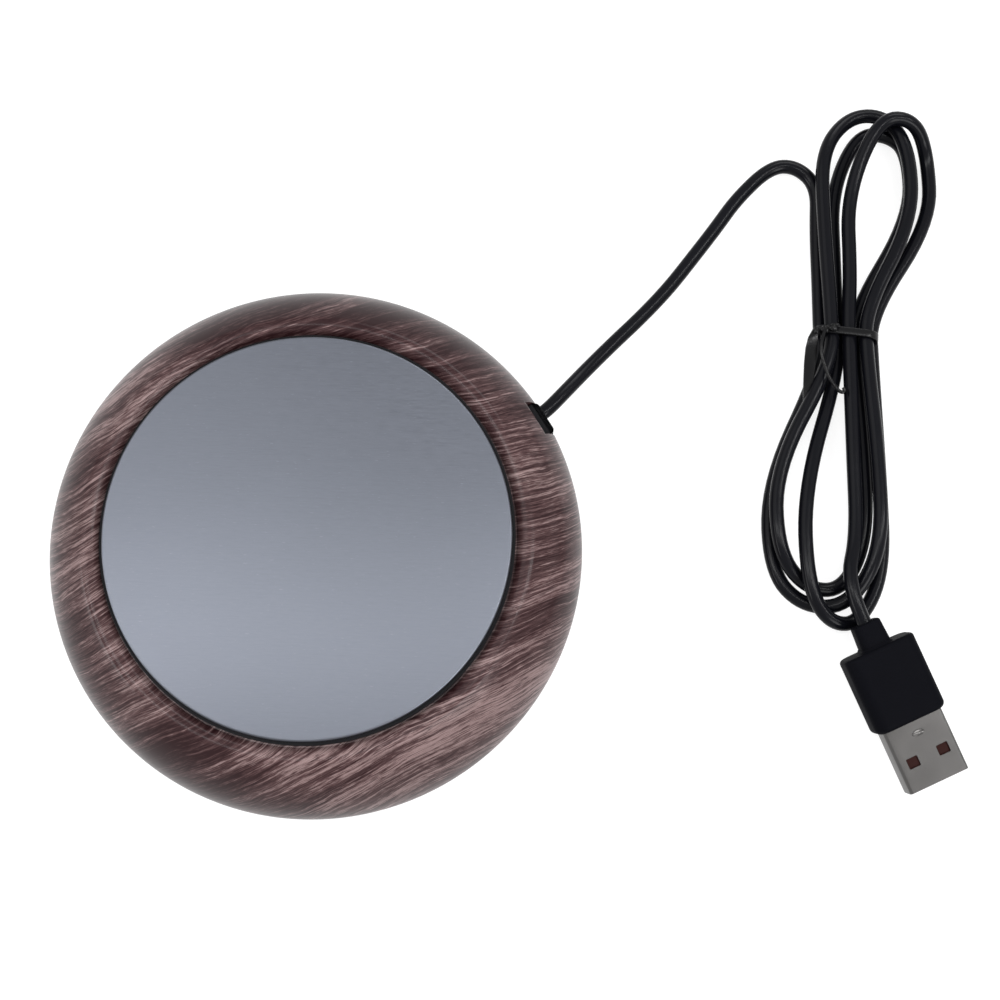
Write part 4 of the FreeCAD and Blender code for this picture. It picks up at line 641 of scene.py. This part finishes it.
def dome_section(sizes):
    """The dome's section, going up the outside, over the crest and down the bore."""
    low = Vector((sizes.body_radius, sizes.widest_height))
    high = Vector((sizes.crest_radius, sizes.crest_height))
    chord = high - low
    inward = Vector((-chord.y, chord.x)).normalized()
    middle = (low + high) / 2
    centre = middle + inward * math.sqrt(sizes.flank_radius ** 2 - (chord.length / 2) ** 2)
    first = math.atan2(low.y - centre.y, low.x - centre.x)
    last = math.atan2(high.y - centre.y, high.x - centre.x)
    tuck = (sizes.tuck_radius, sizes.underside)
    foot = (sizes.bore_radius, sizes.slope_foot)
    outer = arc_places(centre, sizes.flank_radius, first, last, 200)
    waist = rounded_corner(tuck, tuple(low), outer[20], sizes.waist_round)
    crest = rounded_corner(outer[190], tuple(high), foot, sizes.crest_round)
    spare = 0.3 * MM
    flank = [place for place in outer[::8] if waist[-1][1] + spare < place[1] and place[0] > crest[0][0] + spare]
    inner_radius = sizes.flank_radius - sizes.wall
    inner_top = centre.x + math.sqrt(inner_radius ** 2 - (sizes.ledge_under - centre.y) ** 2)
    inner_last = math.atan2(sizes.ledge_under - centre.y, inner_top - centre.x)
    inner_first = math.asin((sizes.widest_height - centre.y) / inner_radius)
    inner = arc_places(centre, inner_radius, inner_last, inner_first, 10)
    return ([tuck] + waist + flank + crest + [foot, (sizes.bore_radius, sizes.ledge_top),
            (sizes.ledge_radius, sizes.ledge_top), (sizes.ledge_radius, sizes.ledge_under)] + inner
            + [(sizes.tuck_radius - sizes.wall, sizes.underside)])


def place_on_body(piece, slot, *nodes):
    """Ride on the warmer's one body and stand for CAD nodes. The slot is not used."""
    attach(piece, "root")
    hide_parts(*nodes)


def finish_piece(piece, finish, slot, *nodes, degrees=35):
    """Shade and dress a made piece and place it on the body."""
    activate(piece)
    bpy.ops.object.shade_smooth_by_angle(angle=math.radians(degrees))
    dress(piece, finish)
    place_on_body(piece, slot, *nodes)


class MUGWARMER_OT_dome(bpy.types.Operator):
    """Turn the dome and cut the cord slot"""
    bl_idname = "mugwarmer.dome"
    bl_label = "Dome"

    def execute(self, context):
        sizes = context.scene.warmer_sizes
        dome = turned("dome", dome_section(sizes), sizes.facets)
        deselect_all()
        depth = sizes.body_radius + 2 * MM - sizes.slot_radius
        aside = bearing_place(CORD_BEARING + math.pi / 2, -sizes.slot_shift, 0.0)
        bpy.ops.mesh.primitive_cube_add(size=1, rotation=(0, 0, CORD_BEARING),
                                        location=aside + exit_place(sizes.slot_radius + depth / 2, SLOT_CUT_HEIGHT / 2))
        cutter = added("slot_cutter")
        cutter.scale = (depth, sizes.slot_width, SLOT_CUT_HEIGHT)
        cut_away(dome, settle(cutter))
        finish_piece(dome, "wood_film", "wood_grain_shell", "top_shell")
        return {"FINISHED"}


class MUGWARMER_OT_plate(bpy.types.Operator):
    """Make the heated plate with its rounded edge and the studs beneath"""
    bl_idname = "mugwarmer.plate"
    bl_label = "Heated Plate"

    def execute(self, context):
        sizes = context.scene.warmer_sizes
        thickness = sizes.plate_top - sizes.plate_under
        plate = rod("plate", sizes.facets, sizes.plate_radius, thickness, (0, 0, sizes.plate_under + thickness / 2))
        bevel_edges(plate, at_height(2, sizes.plate_top), sizes.plate_round, 5)
        parts = [plate]
        length = sizes.plate_under - sizes.stud_end
        for bearing in (90, 210, 330):
            place = bearing_place(math.radians(bearing), sizes.stud_circle, sizes.plate_under - length / 2)
            stud = rod("stud", 32, sizes.stud_radius, length, place)
            bevel_edges(stud, at_height(2, sizes.stud_end), 0.3 * MM, 2)
            parts.append(stud)
        finish_piece(join_pieces(parts), "brushed_plate", "plate_metal", "heating_plate")
        return {"FINISHED"}


# The cord

def exit_place(distance, height):
    return bearing_place(CORD_BEARING, distance, height)


def plug_frame():
    """The plug's neck face and the direction from the cord to the tip."""
    flat = math.cos(PLUG_PITCH)
    heading = Vector((flat * math.cos(PLUG_HEADING), flat * math.sin(PLUG_HEADING), -math.sin(PLUG_PITCH)))
    tip = PLUG_TIP + Vector((0, 0, PLUG_SHELL_THICKNESS / 2 * flat + TABLE_GAP))
    return tip - heading * (PLUG_NECK + PLUG_MOULD + PLUG_SHELL), heading


def hank_stations(sizes):
    """The places and headings that the hank passes, up to one diameter from the plug."""
    waist = Vector((sizes.waist_x, sizes.waist_y, 0))
    low = TABLE_GAP + sizes.tie_thickness + sizes.tie_clearance + sizes.diameter / 2
    down, up = Vector((0, -1, 0)), Vector((0, 1, 0))

    def place(offset):
        return waist + Vector(offset) * MM

    def slot(where):
        return waist + Vector((where[0] * sizes.waist_pitch, 0, low + where[1] * sizes.layer_rise))

    stations = [(place(HANK_START), down)]
    for turn in range(len(LOWER_LOOPS)):
        stations.append((slot(DOWN_SLOTS[turn]), down))
        across = Vector((1, 0, LOWER_SLOPES[turn])).normalized()
        stations += [(place(o), heading) for o, heading in zip(LOWER_LOOPS[turn], (down, across, up))]
        stations.append((slot(UP_SLOTS[turn]), up))
        back = Vector((-1, 0, UPPER_SLOPES[turn])).normalized()
        stations += [(place(o), heading) for o, heading in zip(UPPER_LOOPS[turn], (up, back, down))]
    stations += [(slot(DOWN_SLOTS[-1]), down), (place(HANK_LAST), down)]
    neck, heading = plug_frame()
    stations.append((neck - heading * sizes.diameter, heading))
    return stations


def strand_corners(start, first, end, last, leaving, arriving):
    """The two corners of the strand between two places, the same at both ends where it folds."""
    chord = end - start
    if first.dot(last) < 0.9:
        leaving = arriving = FOLD_REACH
    return start + first * leaving * abs(chord.dot(first)), end - last * arriving * abs(chord.dot(last))


def cord_route(sizes):
    """The cord's control points from the collar to the plug."""
    route = [exit_place(sizes.exit_radius + straight, sizes.exit_height) for straight in (0.0, 1.0 * MM)]
    route += [Vector(place) * MM for place in LEAD_ROUTE]
    stations = hank_stations(sizes)
    route.append(stations[0][0] + Vector((0, LEAD_HOOK, 0)))
    for (start, first), (end, last) in zip(stations, stations[1:]):
        reaches = [SLOT_REACH if abs(place.y - sizes.waist_y) < 1 * MM else FLANK_REACH for place in (start, end)]
        route += strand_corners(start, first, end, last, *reaches)
    return route + [plug_frame()[0]]


def plug_matrix():
    """From the plug's own axes, whose X runs from the neck to the tip, to the scene's."""
    neck, heading = plug_frame()
    side = Vector((-math.sin(PLUG_HEADING), math.cos(PLUG_HEADING), 0))
    turn = Matrix((heading, side, heading.cross(side))).transposed().to_4x4()
    return Matrix.Translation(neck) @ turn


class MUGWARMER_OT_plug(bpy.types.Operator):
    """Make the plug's moulding with its neck, and the folded metal shell"""
    bl_idname = "mugwarmer.plug"
    bl_label = "Plug"

    def execute(self, context):
        sizes = context.scene.plug_sizes
        for piece, finish, slot, node in ((self.moulding(sizes), "moulding", "plug_moulding", "plug_overmould"),
                                          (self.shell(sizes), "nickel", "plug_metal", "plug_shell")):
            piece.matrix_world = plug_matrix()
            finish_piece(settle(piece), finish, slot, node)
        return {"FINISHED"}

    def moulding(self, sizes):
        start, end = PLUG_NECK, PLUG_NECK + PLUG_MOULD
        half, deep = sizes.width / 2, sizes.thickness / 2
        body = block("plug_moulding", (start, -half, -deep), (end, half, deep))
        bevel_edges(body, along_axis(0, 5 * MM), sizes.long_round, 8)
        bevel_edges(body, at_height(0, start), sizes.end_round * 0.6, 4)
        bevel_edges(body, at_height(0, end), sizes.end_round, 5)
        # The neck widens towards the moulding and meets it in a small fillet
        half, deep = sizes.neck_width / 2, sizes.neck_thickness / 2
        neck = block("plug_neck", (0, -half, -deep), (start + 0.5 * MM, half, deep))
        bevel_edges(neck, along_axis(0, 3 * MM), 1.5 * MM, 6)
        resize_faces(neck, lambda face: face.normal.x < -0.9, (1, 0.90, 0.90), (0, 0, 0))
        bevel_edges(neck, at_height(0, 0.0), 0.35 * MM, 3)
        half, deep = half + 0.05 * MM, deep + 0.05 * MM
        flare = block("neck_flare", (start - 0.45 * MM, -half, -deep), (start + 0.5 * MM, half, deep))
        bevel_edges(flare, along_axis(0, 0.5 * MM), 1.5 * MM, 6)
        resize_faces(flare, lambda face: face.normal.x > 0.9, (1, 1.22, 1.22), (start, 0, 0))
        return join_pieces([body, neck, flare])

    def shell(self, sizes):
        start, end = PLUG_NECK + PLUG_MOULD - sizes.shell_sink, PLUG_NECK + PLUG_MOULD + PLUG_SHELL
        half, deep = sizes.shell_width / 2, PLUG_SHELL_THICKNESS / 2
        shell = block("plug_shell_sheet", (start, -half, -deep), (end, half, deep))
        bevel_edges(shell, along_axis(0, 5 * MM), 0.6 * MM, 5)
        select_faces(shell, lambda face: abs(face.normal.x) > 0.9)
        bpy.ops.mesh.delete(type="FACE")
        leave_edit()
        apply_modifier(shell, "SOLIDIFY", thickness=sizes.shell_sheet, offset=-1.0)
        reach = Vector((sizes.window_length / 2, sizes.window_width / 2, 5 * MM))
        for side in (sizes.window_spread, -sizes.window_spread):
            middle = Vector((end - sizes.window_place, side, 0))
            cutter = block("window_cutter", middle - reach, middle + reach)
            bevel_edges(cutter, along_axis(2, 5 * MM), 0.2 * MM, 3)
            cut_away(shell, cutter)
        # The latch dents, top and bottom, and the seam where the sheet closes underneath
        for height in (deep + 0.12 * MM, -deep - 0.12 * MM):
            deselect_all()
            bpy.ops.mesh.primitive_uv_sphere_add(segments=32, ring_count=16, radius=1,
                                                 location=(PLUG_NECK + PLUG_MOULD + 2.3 * MM, 0, height))
            dent = added("dent_cutter")
            dent.scale = (0.65 * MM, 1.3 * MM, 0.34 * MM)
            cut_away(shell, settle(dent))
        cut_away(shell, block("seam_cutter", (start - 1 * MM, 0.9 * MM, -deep - 1 * MM),
                              (end + 1 * MM, 0.98 * MM, -deep + 1 * MM)))
        return shell


class MUGWARMER_OT_grommet(bpy.types.Operator):
    """Make the black block in the cord slot with its collar"""
    bl_idname = "mugwarmer.grommet"
    bl_label = "Cord Grommet"

    def execute(self, context):
        sizes = context.scene.warmer_sizes
        half = sizes.slot_width / 2 - 0.1 * MM
        right, left = -sizes.slot_shift - half, -sizes.slot_shift + half
        face, top, wide = sizes.grommet_face, sizes.grommet_top, sizes.grommet_flange / 2
        inner, near = sizes.grommet_inner, face - 3.95 * MM
        outer = block("grommet", (near, right, sizes.underside), (face, left, top))
        bevel_edges(outer, lambda ends: all(place.x > face - 0.01 * MM for place in ends)
                    and max(place.z for place in ends) > top - 0.01 * MM, 1.2 * MM, 6)
        bevel_edges(outer, lambda ends: all(place.x > face - 1.3 * MM for place in ends)
                    and along_axis(2, 5 * MM)(ends), 0.9 * MM, 5)
        web = block("grommet_web", (inner + 1 * MM, right, sizes.floor_top), (near + 1 * MM, left, top))
        flange = block("grommet_flange", (inner, -sizes.slot_shift - wide, sizes.floor_top),
                       (inner + 3 * MM, -sizes.slot_shift + wide, top))
        bevel_edges(flange, along_axis(2, 5 * MM), 0.5 * MM, 3)
        length = sizes.collar_length + 1 * MM
        middle = (face + sizes.collar_length - length / 2, 0, sizes.cord_height)
        collar = rod("collar", 64, sizes.collar_radius, length, middle, (0, math.pi / 2, 0))
        bevel_edges(collar, at_height(0, face + sizes.collar_length), 0.45 * MM, 4)
        grommet = join_pieces([outer, web, flange, collar])
        grommet.rotation_euler = (0, 0, CORD_BEARING)
        finish_piece(settle(grommet), "rubber", "black_rubber", "cord_grommet")
        return {"FINISHED"}


class MUGWARMER_OT_tie(bpy.types.Operator):
    """Make the tie: a strap round the waist, a twisted knot, a flat end and a thin curled end"""
    bl_idname = "mugwarmer.tie"
    bl_label = "Tie"

    def execute(self, context):
        sizes = context.scene.cord_sizes
        tie = join_pieces([self.strap(sizes), self.knot(), self.flat_end(sizes), self.thin_end()])
        tie.location = (sizes.waist_x, sizes.waist_y, TABLE_GAP)
        finish_piece(settle(tie), "tie", "cord_jacket", "twist_tie", degrees=50)
        return {"FINISHED"}

    def strap(self, sizes):
        thick, gap, radius = sizes.tie_thickness, sizes.tie_clearance, sizes.diameter / 2
        wide = 1.5 * sizes.waist_pitch + radius + thick
        high = sizes.layer_rise + 2 * (radius + gap + thick)
        strap = block("tie", (-wide, -sizes.tie_width / 2, 0), (wide, sizes.tie_width / 2, high))
        select_faces(strap, lambda face: face.normal.z > 0.9)
        bpy.ops.transform.resize(value=(0.84, 1, 1), center_override=(0, 0, high))
        bpy.ops.transform.translate(value=(-0.6 * MM, 0, 0))
        leave_edit()
        bevel_edges(strap, along_axis(1, 1 * MM), radius + gap + thick, 10)
        select_faces(strap, lambda face: abs(face.normal.y) > 0.9)
        bpy.ops.mesh.inset(thickness=thick)
        bpy.ops.mesh.bridge_edge_loops()
        turn_outward()
        soften(strap, 0.18 * MM, 3, 50)
        strap.rotation_euler = (0, 0, math.radians(-7))
        return settle(strap)

    def knot(self):
        knot = block("tie_knot", (-2.6 * MM, -0.75 * MM, -0.4 * MM), (2.6 * MM, 0.75 * MM, 0.4 * MM))
        select_edges(knot, along_axis(0, 3 * MM))
        bpy.ops.mesh.subdivide(number_cuts=40)
        leave_edit()
        apply_modifier(knot, "SIMPLE_DEFORM", deform_method="TWIST", deform_axis="X", angle=math.radians(560))
        soften(knot, 0.15 * MM, 2, 60)
        knot.location = (-4.9 * MM, 0.3 * MM, 8.2 * MM)
        knot.rotation_euler = (math.radians(20), math.radians(-6), math.radians(10))
        return settle(knot)

    def flat_end(self, sizes):
        route = [(-6.9, 0.2, 8.1), (-7.5, -1.4, 8.0), (-7.8, -3.4, 7.5), (-8.0, -6.0, 6.6), (-8.2, -9.0, 5.6),
                 (-8.4, -12.0, 4.8), (-8.5, -13.2, 4.6)]
        deselect_all()
        bpy.ops.mesh.primitive_plane_add(size=1, location=Vector(route[0]) * MM, rotation=(math.pi / 2, 0, 0))
        end = added("tie_flat_end")
        end.scale = (1.3 * MM, 0.6 * MM, 1)
        settle(end)
        bpy.ops.object.mode_set(mode="EDIT")
        bpy.ops.mesh.select_all(action="SELECT")
        widths = [1.3, 1.9, 2.3, 2.3, 2.0, 1.7, 1.4]
        for here, there, before, after in zip(route, route[1:], widths, widths[1:]):
            step = (Vector(there) - Vector(here)) * MM
            bpy.ops.mesh.extrude_region_move(TRANSFORM_OT_translate={"value": step})
            bpy.ops.transform.resize(value=(after / before, 1, 1), center_override=Vector(there) * MM)
        turn_outward()
        soften(end, 0.14 * MM, 3, 50)
        return end

    def thin_end(self):
        route = [(-5.2, 0.2, 8.5), (-6.0, -2.0, 8.9), (-6.3, -4.4, 8.7), (-5.5, -7.2, 8.3), (-4.6, -9.6, 7.9),
                 (-3.4, -11.4, 7.6), (-2.3, -12.3, 7.4), (-1.6, -11.8, 7.4), (-2.0, -11.2, 7.5)]
        end = tube("tie_thin_end", [Vector(place) * MM for place in route], 0.36 * MM, bevel_resolution=3)
        activate(end)
        bpy.ops.object.convert(target="MESH")
        bpy.ops.object.mode_set(mode="EDIT")
        merge_corners()
        turn_outward()
        return bpy.context.object


class MUGWARMER_OT_cord(bpy.types.Operator):
    """Lay the cord as one smooth curve from the collar through the hank to the plug"""
    bl_idname = "mugwarmer.cord"
    bl_label = "Cord"

    def execute(self, context):
        sizes = context.scene.cord_sizes
        route = cord_route(sizes)
        cord = tube("cord", route, sizes.diameter / 2, bevel_resolution=6, resolution_u=8)
        cord.data.materials.append(material_for("jacket"))
        place_on_body(cord, "cord_jacket", "cord_lead", "cord_hank")
        return {"FINISHED"}


class MUGWARMER_OT_finishes(bpy.types.Operator):
    """Give every piece that keeps its CAD shape its finish"""
    bl_idname = "mugwarmer.finishes"
    bl_label = "Finishes"

    def execute(self, context):
        finishes = {
            "plate_seal": "rubber", "heater_film": "film", "insulation_pad": "felt", "heater_retainer": "steel",
            "retainer_nuts": "steel", "thermal_cutout": "case", "cutout_clip": "steel", "clip_screws": "steel",
            "base_cover": "base", "base_screws": "steel", "rubber_feet": "rubber", "cord_clamp": "base",
            "clamp_screws": "steel", "cord_tail": "jacket", "cord_cores": "wire", "crimp_caps": "cap",
            "plug_tongue": "insulator", "plug_contacts": "gold", "wire_supply": "wire", "wire_link": "wire",
            "wire_return": "wire",
        }
        for node, finish in finishes.items():
            dress(NODES[node], finish)
        return {"FINISHED"}


# The stage

def camera_turn(values):
    """The camera's rotation, from where straight down falls in its picture."""
    down = Vector((values.nadir_across, values.nadir_down, values.focal_pixels)).normalized()
    across = (Vector((1, 0, 0)) - down * down.x).normalized()
    up = -down
    along = up.cross(across)
    # Rows are the camera's right, down and forward in the scene's axes
    right = Vector((across.x, along.x, up.x))
    lower = Vector((across.y, along.y, up.y))
    forward = Vector((across.z, along.z, up.z))
    return Matrix((right, -lower, -forward)).transposed()


def seen_rays(tree):
    """1 for rays from the camera, a reflection or clear glass, and 0 for those that light other things."""
    rays = add_node(tree, "ShaderNodeLightPath")
    others = math_node(tree, "MAXIMUM", rays.outputs["Is Glossy Ray"], rays.outputs["Is Transmission Ray"])
    return math_node(tree, "MAXIMUM", rays.outputs["Is Camera Ray"], others)


def area_light(name, place, target, sides, power):
    light = bpy.data.lights.new(name, "AREA")
    light.shape = "RECTANGLE"
    light.size, light.size_y = sides
    light.energy = power
    lamp = bpy.data.objects.new(name, light)
    lamp.location = place
    lamp.rotation_euler = (Vector(target) - Vector(place)).to_track_quat("-Z", "Y").to_euler()
    bpy.context.collection.objects.link(lamp)


class MUGWARMER_OT_stage(bpy.types.Operator):
    """Set up the camera, a white floor that keeps the shadow, and soft lights"""
    bl_idname = "mugwarmer.stage"
    bl_label = "Stage"

    def execute(self, context):
        scene = context.scene
        values = scene.stage_values
        scene.view_settings.view_transform = "Standard"
        camera_data = bpy.data.cameras.new("camera")
        camera_data.lens = values.lens
        camera_data.sensor_width = 36.0
        camera_data.clip_start = 0.01
        camera = bpy.data.objects.new("camera", camera_data)
        turn = camera_turn(values).to_4x4()
        camera.matrix_world = Matrix.Translation((values.camera_x, values.camera_y, values.camera_z)) @ turn
        context.collection.objects.link(camera)
        scene.camera = camera
        self.add_floor(context, values)
        self.add_world(scene)
        area_light("key", (0.62, -0.62, 0.75), (0.03, 0, 0), (0.5, 0.4), 4.8)
        area_light("low", (0.66, -0.58, 0.44), (0.03, 0, 0), (0.3, 0.25), 1.6)
        area_light("fill", (-0.60, 0.30, 0.90), (0, 0, 0), (0.9, 0.9), 3.0)
        area_light("strip_left", (-0.22, 0.0, 0.80), (0.03, 0, 0), (0.04, 0.7), 2.2)
        area_light("strip_right", (0.50, 0.05, 0.75), (0.06, 0, 0), (0.04, 0.7), 3.0)
        area_light("side", (-0.85, -0.20, 0.35), (0, 0, 0), (0.5, 0.3), 3.5)
        area_light("back", (0.35, 0.80, 0.60), (0.03, 0, 0), (0.6, 0.3), 3.5)
        return {"FINISHED"}

    def add_floor(self, context, values):
        deselect_all()
        bpy.ops.mesh.primitive_plane_add(size=values.floor_size, location=(0, 0, 0))
        floor = added("floor")
        material, tree, principled = new_material("floor_white")
        set_inputs(principled, {"Base Color": (FLOOR_GREY, FLOOR_GREY, FLOOR_GREY, 1), "Roughness": 0.9,
                                "Specular IOR Level": 0.1})
        glow = add_node(tree, "ShaderNodeEmission", {"Color": (1, 1, 1, 1), "Strength": FLOOR_GLOW})
        dark = add_node(tree, "ShaderNodeEmission", {"Color": (0, 0, 0, 1), "Strength": 0.0})
        glow_on = add_node(tree, "ShaderNodeMixShader", {0: seen_rays(tree), 1: dark.outputs[0], 2: glow.outputs[0]})
        total = add_node(tree, "ShaderNodeAddShader", {0: principled.outputs[0], 1: glow_on.outputs[0]})
        tree.links.new(total.outputs[0], tree.nodes["Material Output"].inputs["Surface"])
        floor.data.materials.append(material)

    def add_world(self, scene):
        world = bpy.data.worlds.new("studio")
        world.use_nodes = True
        tree = world.node_tree
        background = tree.nodes["Background"]
        tree.links.new(map_range(tree, seen_rays(tree), 0.0, 1.0, WORLD_LIGHT, 1.0), background.inputs["Strength"])
        background.inputs["Color"].default_value = (1, 1, 1, 1)
        scene.world = world


class MUGWARMER_PT_panel(bpy.types.Panel):
    """Buttons for each piece, in the sidebar"""
    bl_label = "Mug Warmer"
    bl_space_type = "VIEW_3D"
    bl_region_type = "UI"
    bl_category = "Mug Warmer"

    def draw(self, context):
        for operator in OPERATORS:
            self.layout.operator(operator.bl_idname)


OPERATORS = [MUGWARMER_OT_stage, MUGWARMER_OT_finishes, MUGWARMER_OT_dome, MUGWARMER_OT_plate,
             MUGWARMER_OT_grommet, MUGWARMER_OT_plug, MUGWARMER_OT_tie, MUGWARMER_OT_cord]
GROUPS = {"warmer_sizes": WarmerSizes, "warmer_colours": WarmerColours, "cord_sizes": CordSizes,
          "plug_sizes": PlugSizes, "stage_values": StageValues}


def register():
    """Register the classes, and label each value after its key."""
    for group in GROUPS.values():
        for key, made in group.__annotations__.items():
            made.keywords["name"] = key.replace("_", " ").capitalize()
        bpy.utils.register_class(group)
    for name, group in GROUPS.items():
        setattr(bpy.types.Scene, name, PointerProperty(type=group))
    for item in [*OPERATORS, MUGWARMER_PT_panel]:
        bpy.utils.register_class(item)


def unregister():
    for item in [MUGWARMER_PT_panel, *reversed(OPERATORS)]:
        bpy.utils.unregister_class(item)
    for name, group in reversed(GROUPS.items()):
        delattr(bpy.types.Scene, name)
        bpy.utils.unregister_class(group)


def main():
    register()
    bpy.ops.mugwarmer.stage()
    bpy.ops.mugwarmer.finishes()
    bpy.ops.mugwarmer.dome()
    bpy.ops.mugwarmer.plate()
    bpy.ops.mugwarmer.grommet()
    bpy.ops.mugwarmer.plug()
    bpy.ops.mugwarmer.tie()
    bpy.ops.mugwarmer.cord()


if __name__ == "__main__":
    main()
